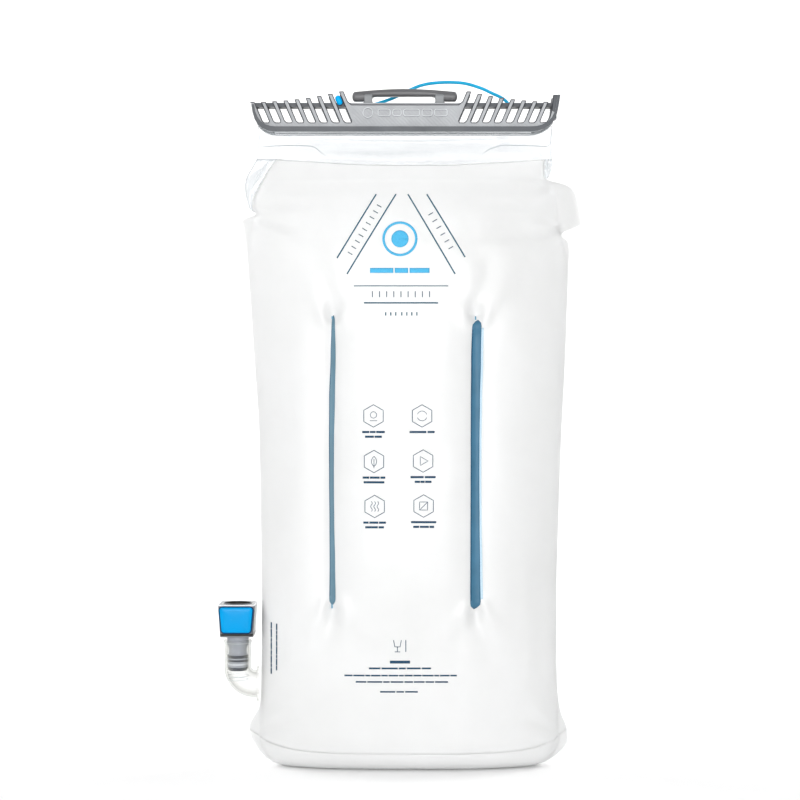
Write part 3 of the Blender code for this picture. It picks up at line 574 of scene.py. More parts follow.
def stripe(name, label, side, low_edge, high_edge, out, mat, nodes=(), trim=0.0):
    """A band of the weld between two fractions of its width, lying on the film."""
    halves, offsets, low, high = STRIPES[label]
    steps, verts = 90, []
    for k in range(steps + 1):
        t = trim + (1 - 2 * trim) * k / steps
        end = min(t, 1 - t) * steps / 2.2
        half = along(halves, t) * (1.0 if end >= 1 else 0.3 + 0.7 * sqrt(1 - (1 - end) ** 2))
        for c in range(7):
            f = mix(low_edge, high_edge, c / 6)
            x = WALLS[label] + along(offsets, t) + half * f
            z = mix(low, high, t) + (0.5 * f if label == "right" else 0.0)
            verts.append((x, side * (film_y(x, z, side) + out), z))
    o = mesh(name, verts, sheet_faces(steps + 1, 7))
    fix_outward(o, side)
    thicken(o, 0.2)
    link(o, mat, nodes)


def weld_stripes():
    """The four weld bands over the inner walls' edges, each with painted shade along its left side, and
    on the right ones a pale band along the right side, a painted highlight.
    """
    for label in WALLS:
        for face, side in (("front", -1), ("back", 1)):
            name = f"{label}_{face}_weld"
            stripe(f"{name}_stripe", label, side, -1, 1, 0.30, f"stripe_{label}", [f"{name}_band"])
            # a painted shade along the left side and, on the right stripes, a painted highlight along
            # the right side
            stripe(f"{name}_shade", label, side, -1.0, -0.72, 0.34, "stripe_painted_shade", trim=0.03)
            if label == "right":
                stripe(f"{name}_pale_highlight_band", label, side, 0.9, 1.45, 0.22, "stripe_painted_highlight", trim=0.03)


# --------------------------------------------------------------------- prints
def resampled(points, step):
    """The same line with no two points further apart than about step."""
    out = [points[0]]
    for a, b in zip(points, points[1:]):
        n = max(int(dist(a, b) / step), 1)
        out += [(mix(a[0], b[0], k / n), mix(a[1], b[1], k / n)) for k in range(1, n + 1)]
    return out


def print_on(name, strokes, mat):
    """Flat ink strokes on the front film: each stroke is its points (x, z) and its width."""
    verts, faces, step, out = [], [], 1.3, 0.16
    for points, width in strokes:
        line = resampled(points, step)
        closed = dist(points[0], points[-1]) < 1e-6
        last = len(line) - 1
        wide = int(width / step) + 2
        start = len(verts)
        for k, (x, z) in enumerate(line):
            a = line[k - 1] if k else (line[-2] if closed else line[0])
            b = line[k + 1] if k < last else (line[1] if closed else line[-1])
            tx, tz = b[0] - a[0], b[1] - a[1]
            long = hypot(tx, tz) or 1.0
            for c in range(wide):
                f = width * (c / (wide - 1) - 0.5)
                px, pz = x - tz / long * f, z + tx / long * f
                verts.append((px, -film_y(px, pz, -1) - out, pz))
        faces += sheet_faces(last + 1, wide, start=start)
    o = mesh(name, verts, faces)
    fix_outward(o, -1)
    thicken(o, 0.06)
    link(o, mat)


def ring(cx, cz, r, width, sides, turn=0.0):
    """A round or many-sided outline of one stroke width."""
    points = [(cx + r * cos(turn + 2 * pi * k / sides),
               cz + r * sin(turn + 2 * pi * k / sides)) for k in range(sides)]
    return points + points[:1], width


def ticks(start, end, count, tall, width, up=(0.0, 1.0)):
    """Short marks of one height in a row, standing along up."""
    out, h = [], tall / 2
    for k in range(count):
        x, z = (mix(a, b, k / (count - 1)) for a, b in zip(start, end))
        out.append(([(x - up[0] * h, z - up[1] * h), (x + up[0] * h, z + up[1] * h)], width))
    return out


def dashes(cx, cz, wide, tall, words, upright=False):
    """A row of blank bars whose lengths go as the numbers in words."""
    gap = 0.45 * wide / (sum(words) + 0.45 * (len(words) - 1))
    unit = gap / 0.45
    out, at = [], -wide / 2
    for n in words:
        a, b = at, at + n * unit
        out.append(([(cx, cz - a), (cx, cz - b)] if upright else [(cx + a, cz), (cx + b, cz)], tall))
        at = b + gap
    return out


ICONS = [(-18.9, 214.2), (10.1, 214.2), (-18.6, 187.0), (10.7, 187.3), (-18.2, 160.2), (11.0, 160.5)]
WORDS = [(5, 4, 6), (7, 3), (4, 6, 3), (6, 5), (3, 5, 4), (8,), (5, 7, 3, 6, 4), (6, 3, 5)]


def arc(cx, cz, r, a, b):
    """Points of an arc from a to b degrees."""
    return [(cx + r * cos(radians(mix(a, b, k / 12))),
             cz + r * sin(radians(mix(a, b, k / 12)))) for k in range(13)]


def icon_signs():
    """Plain signs inside the six hexagons: dot, arcs, lens, triangle, waves, square."""
    thin = 0.34
    (ax, az), (bx, bz), (cx, cz), (dx, dz), (ex, ez), (gx, gz) = ICONS
    lines = [[(ax - 2.2, az - 2.9), (ax + 2.2, az - 2.9)],
             arc(bx, bz, 2.9, 20, 160), arc(bx, bz, 2.9, 200, 340),
             arc(cx - 2.2, cz, 3.7, -54, 54), arc(cx + 2.2, cz, 3.7, 126, 234),
             [(cx, cz - 4.0), (cx, cz + 1.6)],
             [(dx - 1.7, dz - 2.7), (dx + 3.0, dz), (dx - 1.7, dz + 2.7), (dx - 1.7, dz - 2.7)]]
    lines += [[(ex + shift + 0.5 * sin(k * 0.8), ez - 3.0 + 0.5 * k) for k in range(13)]
              for shift in (-1.9, 0.0, 1.9)]
    lines += [[(gx + 2.4 * a, gz + 2.4 * b) for a, b in ((-1, -1), (1, -1), (1, 1), (-1, 1), (-1, -1))],
              [(gx - 2.4, gz - 2.4), (gx + 2.4, gz + 2.4)]]
    return [ring(ax, az + 0.6, 1.9, thin, 20)] + [(line, thin) for line in lines]


def prints():
    """Generic printed marks: rules, ticks, blank bars and plain signs, with no lettering."""
    slanted = ((-17.4, -40.8, 308.8), (-5.5, -34.8, 299.2), (1.7, 29.9, 299.2), (13.1, 35.9, 309.4))
    print_on("print_slanted_rules", [([(a, 347.7), (b, low)], 0.78) for a, b, low in slanted], "ink")
    print_on("print_level_rules", [([(-30.6, 292.0), (25.7, 292.0)], 0.5),
                                   ([(-24.6, 281.8), (19.7, 281.8)], 0.8)], "ink")
    lean = hypot(29.3, 48.5)
    up_left, up_right = (-48.5 / lean, 29.3 / lean), (48.5 / lean, 28.2 / lean)
    print_on("print_ticks", ticks((-33.0, 311.6), (-15.6, 340.4), 9, 3.2, 0.5, up_left)
             + ticks((15.4, 335.6), (27.4, 315.0), 6, 3.2, 0.5, up_right)
             + ticks((-19.6, 287.0), (14.6, 287.0), 9, 3.6, 0.5), "ink_grey")
    print_on("print_small_ticks", ticks((-11.6, 275.2), (-5.6, 275.2), 3, 2.0, 0.7)
             + ticks((-2.0, 275.2), (7.0, 275.2), 4, 2.0, 0.7), "ink")
    print_on("print_emblem", [ring(-3.1, 320.4, 9.8, 1.5, 48), ring(-3.1, 320.4, 2.6, 5.2, 24)],
             "ink_light")
    print_on("print_heading", dashes(-3.2, 301.3, 35.6, 3.0, (7, 4, 6)), "ink_light")
    hexagons = [ring(x, z, 6.7, 0.42, 6, pi / 2) for x, z in ICONS]
    print_on("print_icons", hexagons + icon_signs(), "ink_grey")
    captions = []
    for k, (x, z) in enumerate(ICONS):
        captions += dashes(x, z - 9.6, 13.5 + 1.5 * (k % 2), 1.25, WORDS[k])
        if k != 1:
            captions += dashes(x, z - 12.4, 10.0 + 1.2 * (k % 3), 1.25, WORDS[(k + 3) % 6])
    print_on("print_captions", captions, "ink_grey")
    cup = [([(-6.9, 80.6), (-6.2, 76.6), (-3.0, 76.6), (-2.3, 80.6)], 0.4),
           ([(-4.6, 76.6), (-4.6, 73.6)], 0.4), ([(-6.2, 73.6), (-3.0, 73.6)], 0.4),
           ([(0.4, 80.6), (0.4, 73.6)], 0.5)]
    print_on("print_cup", cup, "ink_grey")
    small = (dashes(-3.1, 67.5, 12.0, 1.7, (6,)) + dashes(-3.1, 63.7, 37.0, 1.0, WORDS[6])
             + dashes(-2.7, 59.4, 67.0, 0.9, WORDS[6] + WORDS[7] + WORDS[6])
             + dashes(-2.0, 55.6, 55.0, 0.9, WORDS[6] + WORDS[0])
             + dashes(-3.7, 49.7, 22.5, 0.9, WORDS[7]))
    print_on("print_small_bars", small, "ink_grey")
    side = (dashes(-80.8, 74.0, 31.0, 0.8, WORDS[6] + WORDS[7], True)
            + dashes(-77.4, 75.0, 28.0, 0.8, WORDS[7] + WORDS[6], True))
    print_on("print_side_bars", side, "ink_grey")


# ------------------------------------------------------------- neck and mouth

def neck_out(x, z, side):
    """Distance of the clear neck film from the mid plane at x, z."""
    low = top_line(x) - 0.5
    t = (z - low) / (NECK_TOP - low)
    inside = min(max(x, -77.5), 84.8)
    start = film_y(inside, min(z, TOP), side, False) if t < 0.1 else film_y(inside, TOP, side, False)
    edge = fade(x, NECK_LEFT, -70) * fade(x, NECK_RIGHT, 74)
    y = 0.75 + (start - 0.65) * (1 - fade(t, 0.0, 0.8)) * (0.25 + 0.75 * edge)
    if t < 0.8:
        swell = sin(pi * max(t, 0.0) / 0.8)
        ripple = sin(x * 0.33 + 2.2 * noise.noise(Vector((x * 0.03, z * 0.06, side))))
        y += 0.16 * ripple * swell**2 + 0.9 * noise.noise(Vector((x * 0.02, z * 0.16, 4 + side))) * swell
        y += 0.35 * bell(z, 382.4 + 0.0004 * (x - 5) ** 2, 0.7) * edge
    return min(max(y, 0.55), 1.0 if t > 0.78 else 99.0)


def neck():
    """Clear film between the frosted body and the bar, with its faint ripples."""
    across, up = 140, 30
    for name, node_name, side in (("neck_film_front", "front_neck_film", -1),
                                  ("neck_film_back", "back_neck_film", 1)):
        verts = []
        for j in range(up + 1):
            t = j / up
            pinch = 1.3 * bell(t, 0.62, 0.2)
            for i in range(across + 1):
                x = mix(mix(NECK_LOW_LEFT, NECK_LEFT, t) + pinch,
                        mix(NECK_LOW_RIGHT, NECK_RIGHT, t) - pinch * 0.5, i / across)
                z = mix(top_line(x) - 0.5, NECK_TOP, t)
                verts.append((x, side * neck_out(x, z, side), z))
        o = mesh(name, verts, sheet_faces(up + 1, across + 1, side > 0))
        thicken(o, 0.3)
        link(o, "clear", [node_name])


# fold lines of the clear neck and of the fins beside it, drawn grey as painted shade: x, z along each,
# radius, material
FOLDS = {
    "neck_fold_left": ([(-88.6, 378.8), (-79.4, 379.2), (-64.1, 379.1), (-57.4, 378.7), (-54.3, 377.3),
                        (-51.3, 374.6), (-48.2, 372.1)], 0.2, "fold"),
    "neck_fold_right": ([(46.4, 372.5), (50.1, 375.8), (53.7, 377.6), (59.8, 379.3), (70.2, 379.4),
                         (82.3, 379.1), (87.2, 379.3), (89.2, 381.2), (89.6, 384.3), (89.7, 389.5)],
                        0.2, "fold"),
    "neck_fold_edge": ([(89.3, 378.2), (88.8, 371.5), (87.2, 365)], 0.16, "fold_pale"),
    "neck_squiggle_one": ([(-89.2, 386.7), (-89.6, 380.6), (-88.6, 375.2), (-86, 373.6),
                           (-82.4, 375), (-80, 374.4)], 0.15, "fold_pale"),
    "neck_squiggle_two": ([(-80.6, 377.4), (-78.9, 374.5), (-77.8, 371.8)], 0.15, "fold_pale"),
    "neck_squiggle_three": ([(81.6, 374.6), (84.6, 372), (84, 369.6), (87, 366.8)], 0.13, "fold_pale"),
    "neck_pleat_one": ([(-86.4, 387), (-86, 378.8)], 0.12, "fold_pale"),
    "neck_pleat_two": ([(-84, 387), (-84.4, 380.6)], 0.12, "fold_pale"),
    "neck_pleat_three": ([(-80.8, 387), (-80.6, 379.8)], 0.12, "fold_pale"),
    "neck_pleat_four": ([(-77.6, 387), (-78, 381.8)], 0.1, "fold_pale"),
    "neck_ripple_one": ([(-60, 383.6), (-30, 382.6), (2, 382.2), (30, 382.6), (66, 383.4)],
                        0.1, "fold_pale"),
    "neck_ripple_two": ([(-72, 385.4), (-64, 383.2), (-52, 382.4)], 0.1, "fold_pale"),
}


def folds():
    """Each fold line as a thin grey tube that tapers at its ends, lying on the neck: painted shade along
    the fold.
    """
    for name, (points, radius, mat) in FOLDS.items():
        line, _ = smooth_path([(x, 0.0, z) for x, z in points], 1.2)
        front = [(p.x, -neck_out(p.x, p.z, -1) - 0.2, p.z) for p in line]
        line_tube(name, front, lambda t, r=radius: r * (0.35 + 0.65 * min(1.0, 8 * t, 8 * (1 - t))),
                  mat)


def fin(name, outer, inner, nodes=()):
    """Flat clear film left outside the weld, between two edges given as (x, z)."""
    a, _ = smooth_path([(x, 0.0, z) for x, z in outer], 0.8)
    verts = []
    for k, p in enumerate(a):
        t = k / (len(a) - 1)
        q = Vector(inner(p.z))
        for c in range(11):
            f = c / 10
            y = 0.9 * sin(f * 3.0 + t * 5.0) * f * (1 - f) * 2.2 + 0.35 * sin(t * 9.0)
            verts.append((mix(p.x, q.x, f), y, mix(p.z, q.z, f)))
    o = mesh(name, verts, sheet_faces(len(a), 11))
    thicken(o, 0.3, 0.0)
    link(o, "fin", nodes)
    # grey tubes along its outer edge and its crease: painted shade
    edge = [verts[k * 11] for k in range(len(a))]
    line_tube(f"{name}_edge", edge, 0.2, "fold_pale")
    crease = [(x, y - 0.2, z) for x, y, z in (verts[k * 11 + 6] for k in range(len(a)))]
    line_tube(f"{name}_crease", crease, 0.12, "fold_pale")


def fins():
    """The clear film left outside the weld at both upper corners."""
    outer = [(-90.7, 371.5), (-93.8, 366.0), (-96.9, 360.4), (-97.8, 354.9), (-97.5, 349.4),
             (-96.2, 344.5), (-95.0, 340.8), (-92.0, 338.6)]
    fin("left_fin", outer, lambda z: (table_at(BODY, z)[0] + 0.8, 0.0, z), ["left_side_fin"])
    outer = [(90.2, 371.4), (89.6, 366.0), (88.4, 361.6), (86.6, 358.6)]
    fin("right_fin", outer, lambda z: (table_at(BODY, z)[1] - 0.8, 0.0, z))


def mouth():
    """The rolled mouth inside the bar: a soft flat roll with a faint ripple along it."""
    across, around = 120, 28
    verts = []
    for i in range(across + 1):
        x = mix(NECK_LEFT, NECK_RIGHT, i / across)
        soft = 0.15 * noise.noise(Vector((x * 0.05, 2.0, 0.0)))
        for k in range(around):
            a = 2 * pi * k / around
            c, q = cos(a), sin(a)
            y = 2.25 * copysign(abs(c) ** 0.6, c)
            z = 396.9 + (4.6 + soft) * copysign(abs(q) ** 0.35, q)
            verts.append((x, y + 0.12 * sin(x * 0.4 + z), z))
    faces = sheet_faces(across + 1, around, cyclic=True)
    faces += [tuple(range(around)), tuple(across * around + k for k in range(around))]
    o = mesh("rolled_mouth", verts, faces)
    outward(o, 60)
    link(o, "mouth", ["folded_mouth"])


def line_tube(name, points, radius, mat, sides=6, body=RESERVOIR):
    """A round mesh tube along points in millimetres; radius may go with the way along it."""
    pts = [Vector(p) for p in points]
    verts, last, normal = [], len(pts) - 1, None
    for k, p in enumerate(pts):
        ahead = (pts[min(k + 1, last)] - pts[max(k - 1, 0)]).normalized()
        if normal is None:
            normal = ahead.orthogonal().normalized()
        normal = (normal - ahead * normal.dot(ahead)).normalized()
        other = ahead.cross(normal)
        r = radius(k / last) if callable(radius) else radius
        for i in range(sides):
            a = 2 * pi * i / sides
            verts.append(p + normal * r * cos(a) + other * r * sin(a))
    faces = sheet_faces(last + 1, sides, cyclic=True)
    faces += [tuple(range(sides))[::-1], tuple(last * sides + i for i in range(sides))]
    o = mesh(name, verts, faces)
    o.data.set_sharp_from_angle(angle=radians(50))
    return link(o, mat, body=body)


def smooth_path(points, spacing):
    """Evenly spaced points on a smooth curve through these ones, and its length."""
    line = []
    last = len(points) - 1
    for k in range(last):
        p0, p1 = Vector(points[max(k - 1, 0)]), Vector(points[k])
        p2, p3 = Vector(points[k + 1]), Vector(points[min(k + 2, last)])
        for s in range(24):
            t = s / 24
            line.append(0.5 * (2 * p1 + (p2 - p0) * t + (2 * p0 - 5 * p1 + 4 * p2 - p3) * t * t
                               + (3 * p1 - p0 - 3 * p2 + p3) * t**3))
    line.append(Vector(points[-1]))
    total = sum((b - a).length for a, b in zip(line, line[1:]))
    count = max(int(total / spacing), 2)
    out, done, k = [line[0]], 0.0, 0
    for n in range(1, count):
        want = total * n / count
        while done + (line[k + 1] - line[k]).length < want:
            done += (line[k + 1] - line[k]).length
            k += 1
        step = line[k + 1] - line[k]
        out.append(line[k] + step * ((want - done) / step.length))
    out.append(line[-1])
    return out, total


def tether():
    """The cord that keeps the bar, from its bead to the anchor behind the bar."""
    line, total = smooth_path(TETHER, 1.0)
    o = line_tube("keeper_cord", line, 1.0, "cord", 12, None)
    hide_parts("tether_cord")
    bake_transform(o)


# ----------------------------------------------------------------- hard parts
PAINTED_PALE_UNDERSIDE = 389.0   # every face of the bar that looks down below this height is its underside, painted pale as a reflection of the white film below


def paint(node_name, mat, bevel=0.0, edge=None, inner=None, under=None):
    """A CAD node's own materials: faces, edges, the faces that inner picks and the underside. The edge
    material paints shade on the faces that look neither to the front nor to the back, and the underside
    material is a painted pale reflection.
    """
    o = frame["nodes"][node_name]
    o.data.materials.clear()
    for m in (mat, edge or mat, inner[0] if inner else mat, under or mat):
        o.data.materials.append(MAT[m])
    for p in o.data.polygons:
        # faces that look neither to the front nor to the back get the edge material: painted shade
        p.material_index = 1 if edge and abs(p.normal.y) <= 0.7 else 0
        if inner and inner[1](p.center / MM):
            p.material_index = 2
        # downward faces low on the bar get the pale material: painted reflection
        if under and p.normal.z < -0.7 and p.center.z / MM < PAINTED_PALE_UNDERSIDE:
            p.material_index = 3
    if bevel:
        rounded(o, bevel)
    else:
        o.data.shade_smooth()
        o.data.set_sharp_from_angle(angle=radians(40))


# radius and height above STEM_LOW all round the stem's wall, from the collar to the tip and up the bore
STEM = [
    (5.5, 21.1), (6.5, 21.1), (6.7, 20.8), (6.7, 19.4), (6.4, 19.1), (6.4, 18.6), (6.7, 18.3),
    (6.7, 16.6), (6.3, 15.6), (5.8, 14.4), (5.5, 13), (5.5, 11), (5.8, 10.2), (6.45, 9.6),
    (6.45, 8.9), (6, 8.6), (6, 8.1), (6.45, 7.8), (6.45, 6.9), (6, 6.6), (6, 6.1),
    (6.5, 5.7), (6.5, 4.9), (5.9, 4.5), (5.9, 3.9), (6.3, 3.4), (6.3, 2.2), (5.8, 0.6),
    (5.4, 0), (3.6, 0), (3.6, 19.1), (5.5, 19.1),
]


def hoop(name, loops, mat, nodes=(), sharp=40):
    """Closed loops joined in a ring, the last to the first: a band with a hole through it."""
    points = [v for loop in loops for v in loop]
    faces = sheet_faces(len(loops) + 1, len(loops[0]), cyclic=True)
    o = mesh(name, points, [tuple(v % len(points) for v in face) for face in faces])
    outward(o, sharp)
    return link(o, mat, nodes)


def stem():
    """Barbed stem seen through the clear elbow: collar, waist and barbs, with darker bands and a paler
    band that is a painted highlight.
    """
    turns = [2 * pi * k / 64 for k in range(64)]
    loops = [[(PORT_X + r * cos(a), r * sin(a), STEM_LOW + h) for r, h in STEM] for a in turns]
    o = hoop("hose_stem", loops, "stem", ["barbed_stem"], 38)
    bands = ((7.75, 9.7, "stem_dark"), (5.6, 7.0, "stem_dark"), (0.0, 2.6, "stem_dark"),
             (2.9, 4.6, "stem_painted_highlight"))
    for index, (low, high, mat) in enumerate(bands, 1):
        o.data.materials.append(MAT[mat])
        for p in o.data.polygons:
            if low < p.center.z / MM - STEM_LOW < high and abs(p.normal.z) < 0.9:
                p.material_index = index


def port_circle(radius, z, step):
    """A closed circle about the connector's upright axis."""
    return [(PORT_X + radius * cos(radians(a)), radius * sin(radians(a)), z)
            for a in range(0, 361, step)]


def elbow():
    """Clear elbow from the bag's side up to the connector, with a lip and two inner steps."""
    bend, end, across = 10.2, -90.9, Vector((0, 1, 0))
    line = [Vector((PORT_X, 0, z)) for z in (77.0, 76.5, 75.4, 74.8, 72.0, 68.0, 64.0, 61.0)]
    for k in range(17):
        a = radians(180 + 90 * k / 16)
        line.append(Vector((PORT_X + bend + bend * cos(a), 0, PORT_Z + bend + bend * sin(a))))
    line += [Vector((end - 0.6, 0, PORT_Z)), Vector((end, 0, PORT_Z))]
    last, turns = len(line) - 1, [2 * pi * k / 40 for k in range(40)]
    outer = [8.2, 8.5, 8.5, 8.25] + [8.25] * (last - 5) + [8.4, 8.4]
    loops = []
    for radii, order in ((outer, range(last + 1)), ([7.0] * (last + 1), range(last, -1, -1))):
        for k in order:
            other = (line[min(k + 1, last)] - line[max(k - 1, 0)]).normalized().cross(across)
            loops.append([line[k] + (across * cos(a) + other * sin(a)) * radii[k] for a in turns])
    hoop("clear_elbow", loops, "elbow", ["port_elbow"], 45)
    # grey rings at the lip and the two inner steps: painted shade
    for label, z, radius in (("upper", 54.9, 6.6), ("lower", 52.6, 6.4), ("lip", 75.2, 7.9)):
        line_tube(f"elbow_{label}_step", port_circle(radius, z, 10), 0.16, "fold_pale")


def quarters(steps):
    """Signs of each corner of a rounded outline, with the points of its unit quarter circle."""
    for sx, sy, start in ((1, 1, 0), (-1, 1, 90), (-1, -1, 180), (1, -1, 270)):
        for k in range(steps + 1):
            a = radians(start + 90 * k / steps)
            yield sx, sy, cos(a), sin(a)


def loft(name, loops, mat, nodes=(), body=BAR, sharp=40):
    """Closed loops of equal length joined into one closed skin."""
    around = len(loops[0])
    faces = sheet_faces(len(loops), around, cyclic=True)
    faces += [tuple(range(around)), tuple((len(loops) - 1) * around + k for k in range(around))]
    o = mesh(name, [v for loop in loops for v in loop], faces)
    outward(o, sharp)
    return link(o, mat, nodes, body)


def button_loop(grow, y, scale=1.0):
    """The push button's outline at depth y, grown by so much or drawn in to a scale of it."""
    low, high, wide_low, wide_high, r = 82.7, 98.0, 8.9, 10.0, 1.8
    middle = (low + high) / 2
    out = []
    for sx, sz, c, q in quarters(6):
        x = sx * ((wide_high if sz > 0 else wide_low) - r) + (r + grow) * c
        z = (high if sz > 0 else low) - sz * r + (r + grow) * q
        out.append((PORT_X + x * scale, y, middle + (z - middle) * scale))
    return out


def shell_loop(z, grow):
    """The connector shell's rounded outline at height z, grown by so much: it tapers downwards."""
    wide = 10.1 + 1.1 * (z - 79.7) / 19.6
    k = wide / 11.2
    front, back, r = -12.5 * k - grow, 10.6 * k + grow, 2.6 + grow
    return [(PORT_X + sx * (wide + grow - r) + r * c, (back - r if sy > 0 else front + r) + r * q, z)
            for sx, sy, c, q in quarters(5)]


def connector_trim():
    """Dark ring in the gap round the button, a painted shade; its crowned face; and the shell's rims:
    the lower one painted dark as shade, the upper one painted pale as a highlight.
    """
    # the dark ring round the button: painted shade in its gap
    surround = ((0.12, -11.9), (0.12, -12.8), (0.3, -13.0), (0.62, -12.9), (0.8, -12.6), (0.8, -11.9))
    hoop("button_gap_painted_shade", [button_loop(*step) for step in surround], "navy")
    crown = ((0.0, -11.45, 1.0), (0.0, -13.0, 1.0), (-0.25, -13.5, 1.0), (-0.8, -13.76, 1.0),
             (-0.8, -13.88, 0.8), (-0.8, -13.96, 0.5), (-0.8, -14.0, 0.2))
    face = loft("button_face", [button_loop(*step) for step in crown], "blue", ["release_button"],
                RELEASE, 60)
    face.data.shade_smooth()
    lower = ((79.9, -0.9), (79.85, -0.3), (80.6, 0.04), (81.7, 0.1), (81.8, -0.2))
    hoop("shell_lower_rim", [shell_loop(*step) for step in lower], "shell_painted_shade")
    upper = ((98.7, -0.3), (98.75, 0.1), (99.2, 0.1), (99.42, -0.15), (99.35, -0.6))
    hoop("shell_upper_rim", [shell_loop(*step) for step in upper], "shell_painted_highlight")
    line_tube("socket_mouth_bead", port_circle(8.45, 99.42, 8), 0.3, "shell", 8)


def grip():
    """Arched carry handle: a rounded bar with drooping ends on two paler posts."""
    left, right = -32.3, 32.0
    loops, count = [], 84
    for k in range(count + 1):
        x = mix(left, right, spread(k, count))
        end = min(x - left, right - x)
        shrink = sqrt(max(1 - (1 - min(end / 1.8, 1.0)) ** 2, 0.0)) * 0.86 + 0.14
        low = 409.7 - 3.0 * max(1 - fade(x, -26.0, -17.5), fade(x, 15.8, 24.5))
        high = 412.3 + 1.9 * sin(pi * (x - left) / (right - left))
        middle, half = (low + high) / 2, (high - low) / 2 * shrink
        deep = 3.0 * (0.72 + 0.28 * shrink)
        drop = min(1.7, half)
        rise = ((0.0, drop), (0.35, drop * 0.62), (1.0, drop * 0.22), (1.9, 0.0))
        section = [(-deep, -half + 0.6)] + [(a - deep, half - b) for a, b in rise]
        section += [(deep - a, half - b) for a, b in reversed(rise)]
        section += [(deep, -half + 0.6), (deep - 0.6, -half), (-deep + 0.6, -half)]
        loops.append([(x, y, middle + z) for y, z in section])
    loft("carry_grip", loops, "dark_grey", ["carry_handle"], BAR, 50)
    corners = ((1, 1, 0, 0.4), (1, 1, 0.4, 0), (-1, 1, 0.4, 0), (-1, 1, 0, 0.4),
               (-1, -1, 0, 0.4), (-1, -1, 0.4, 0), (1, -1, 0.4, 0), (1, -1, 0, 0.4))
    levels = ((405.3, 1.25, 3.0), (405.9, 1.0, 3.1), (407.4, 0.94, 3.2), (409.0, 1.0, 3.3),
              (410.0, 1.0, 3.3), (410.5, 0.86, 3.15), (410.7, 0.6, 2.9))
    for label, low_x, high_x in (("left", -25.1, -19.9), ("right", 18.4, 23.9)):
        middle, half = (low_x + high_x) / 2, (high_x - low_x) / 2
        loft(f"handle_{label}_post",
             [[(middle + sx * (half * wide - cx), sy * (deep - cy), z) for sx, sy, cx, cy in corners]
              for z, wide, deep in levels], "post")


def outline(name, cx, cz, half_x, half_z, r):
    """A raised rounded outline on the bar's front plate, painted pale as a highlight, with a dark line
    under it as its painted shadow.
    """
    y = -7.72
    points = [(cx + sx * (half_x - r) + r * c, y, cz + sz * (half_z - r) + r * q)
              for sx, sz, c, q in quarters(6)]
    points.append(points[0])
    line_tube(name, points, 0.26, "mark", 8, BAR)
    line_tube(f"{name}_shade", [(x, y + 0.08, z - 0.28) for x, _, z in points], 0.2, "edge_grey", 6, BAR)


def plate_marks():
    """Plain raised outlines on the bar's front plate, where a mould carries its marks."""
    outline("bar_mark_ring", -22.6, 398.6, 3.0, 3.0, 3.0)
    at = -16.4
    for k, long in enumerate((7.4, 5.0, 9.6, 6.0, 7.6)):
        outline(f"bar_mark_{k + 1}", at + long / 2, 398.6, long / 2, 2.0, 1.2)
        at += long + 1.6


def comb_line():
    """Edge of the bar's fins, slots and plate from left to right, as (x, z)."""
    left = [-38.8 - 6.78 * k for k in range(8, -1, -1)]
    right = [38.9 + 6.7 * k for k in range(8)]
    slant, half, low, plate = tan(radians(23.0)), 1.2, 392.4, 403.3
    line = []
    for x in left + right:
        top = 404.9 + 6.4 * ((93.0 - abs(x)) / 54.2) ** 2
        lean = copysign(slant, -x)
        foot = x + lean * (top - low)
        up = [(foot - half - 0.9, low), (foot - lean * 1.1 - half, low + 1.1), (x - half, top)]
        down = [(x + half, top), (foot - lean * 1.1 + half, low + 1.1), (foot + half + 0.9, low)]
        drop, knee = slant * (top - plate), plate + 0.25 * (top - plate)
        if x == left[0]:
            up = up[2:]
        if x == left[-1]:
            down = [down[0], (x + half + 0.75 * drop, knee), (x + half + drop + 1.6, plate)]
        if x == right[0]:
            up = [(x - half - drop - 1.6, plate), (x - half - 0.75 * drop, knee), up[2]]
        line += up + down
    return line + [(86.1, 392.7), (88.1, 395.6), (89.4, 400.0), (90.4, 409.2), (94.3, 409.2)]


def comb_edges():
    """Dark line along both combs of the bar: painted shade on their rounded edges."""
    for label, side in (("front", -1), ("back", 1)):
        line = [(x, side * 7.58, z) for x, z in resampled(comb_line(), 0.8)]
        line_tube(f"bar_{label}_edge", line, 0.3, "line", 6, BAR)


def springs():
    """Gives each coil a mesh of its own."""
    nodes, x = frame["nodes"], PORT_X * MM
    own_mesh(nodes["valve_spring"])
    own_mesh(nodes["button_spring"])


def bar_painted_shade_faces(c):
    """The bar's rail between the combs, its lower lip and its right end tab: the faces that get painted
    shade.
    """
    return abs(c.y) < 4.8 and c.z > 402.0 and abs(c.x) > 37.0 or abs(c.y) > 8.2 or c.x > 89.8


def socket_painted_shade_faces(c):
    """The shell's faces inside the hose socket, painted dark as shade."""
    return hypot(c.x - PORT_X, c.y) < 9.2 and c.z > 87.0


def hard_parts():
    """The pieces that keep their CAD shape, and the finer ones that stand for the rest."""
    # the bar: painted shade on its sides, rail, lip and end tab, and a painted pale reflection on its
    # underside
    paint("slide_bar", "grey", edge="edge_grey", inner=("lip", bar_painted_shade_faces), under="mark")
    comb_edges()
    # the inside of the hose socket: painted shade
    paint("connector_shell", "shell", 0.7, inner=("shell_painted_shade", socket_painted_shade_faces))
    kept = {"stem": ("spring_seat", "latch_plate", "valve_poppet"),
            "rubber": ("socket_o_ring", "poppet_seal"), "steel": ("button_spring", "valve_spring"),
            "bead": ("tether_bead",), "tab": ("tether_anchor",), "strip": ("mouth_stiffener",),
            "wall": ("left_inner_wall", "right_inner_wall"), "elbow": ("port_flange",)}
    for mat, nodes in kept.items():
        for name in nodes:
            paint(name, mat)
    springs()
    stem()
    elbow()
    connector_trim()
    grip()
    plate_marks()


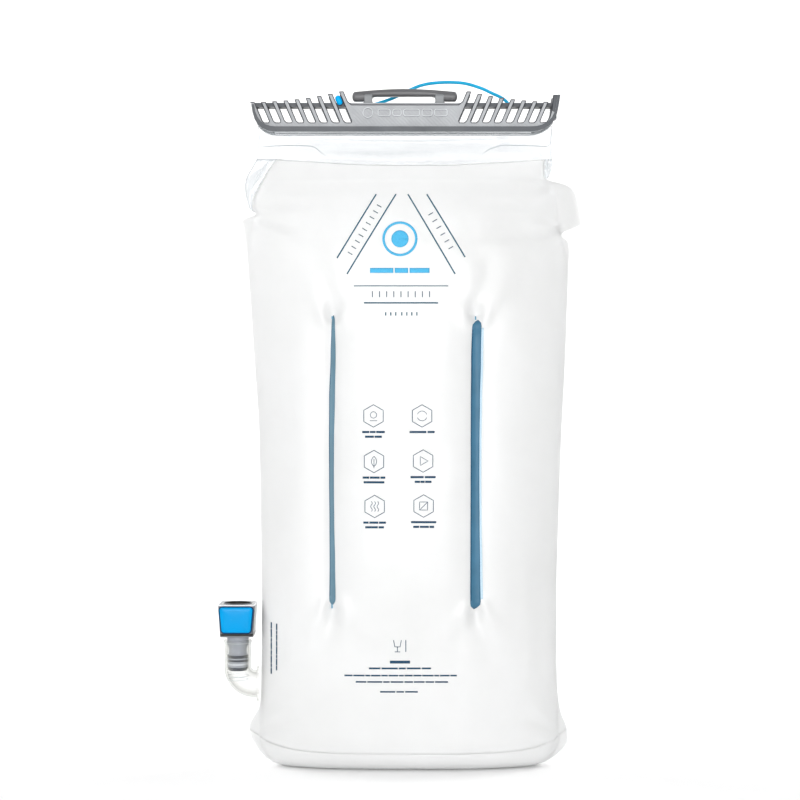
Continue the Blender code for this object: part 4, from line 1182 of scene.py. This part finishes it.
# --------------------------------------------------------------------- studio
def put(name, data, place=(0, 0, 0), turn=(0, 0, 0)):
    """A new object in the scene, turned and placed."""
    o = bpy.data.objects.new(name, data)
    o.location = place
    o.rotation_euler = turn
    bpy.context.scene.collection.objects.link(o)
    return o


def area(name, place, aim, size, power):
    """A rectangular light that looks at a point."""
    light = bpy.data.lights.new(name, "AREA")
    light.shape = "RECTANGLE"
    light.size, light.size_y = size
    light.energy = power
    put(name, light, place, (Vector(aim) - Vector(place)).to_track_quat("-Z", "Y").to_euler())


def studio():
    """White sweep, soft lights and the level camera; lengths in metres."""
    me = bpy.data.meshes.new("floor_sweep")
    profile = [(-3.2, 0.0), (0.9, 0.0)]
    profile += [(0.9 + 0.9 * sin(a), 0.9 - 0.9 * cos(a))
                for a in (pi / 2 * k / 24 for k in range(1, 25))]
    profile += [(1.8, 3.5)]
    verts = [(x, y, z - 0.0002) for y, z in profile for x in (-4.0, 4.0)]
    me.from_pydata(verts, [], sheet_faces(len(profile), 2))
    me.shade_smooth()
    m, _, s = new_material("studio_white")
    constants(s, ("Base Color", (0.93, 0.93, 0.93, 1)), ("Roughness", 0.9), ("Specular IOR Level", 0.1))
    me.materials.append(m)
    put("floor_sweep", me)

    world = bpy.data.worlds.new("studio")
    bpy.context.scene.world = world
    world.use_nodes = True
    constants(world.node_tree.nodes["Background"], ("Color", (1, 1, 1, 1)), ("Strength", 0.345))
    area("front", (-0.1, -2.5, 0.52), (0, 0, 0.2), (1.05, 0.9), 47)
    area("key", (-1.0, -1.4, 1.2), (0, 0, 0.2), (1.0, 1.0), 4)
    area("top", (0.0, 0.0, 1.7), (0, 0, 0.2), (1.6, 1.0), 3.5)
    area("backdrop_left", (-1.3, 0.6, 1.2), (0.2, 1.7, 0.6), (1.2, 1.2), 19)
    area("backdrop_right", (1.3, 0.6, 1.2), (-0.2, 1.7, 0.6), (1.2, 1.2), 19)

    data = bpy.data.cameras.new("camera")
    data.lens = 79.0
    data.sensor_width = 36.0
    data.clip_start = 0.01
    scene = bpy.context.scene
    scene.camera = put("camera", data, (-0.00307, -1.076, 0.2237), (pi / 2, 0, 0))
    scene.view_settings.view_transform = "Standard"


studio()
tether()
panel("front_film", ["front_panel", "right_side_lug"], -1)
panel("back_film", ["back_panel"], 1)
base()
weld_stripes()
prints()
neck()
folds()
fins()
mouth()
hard_parts()
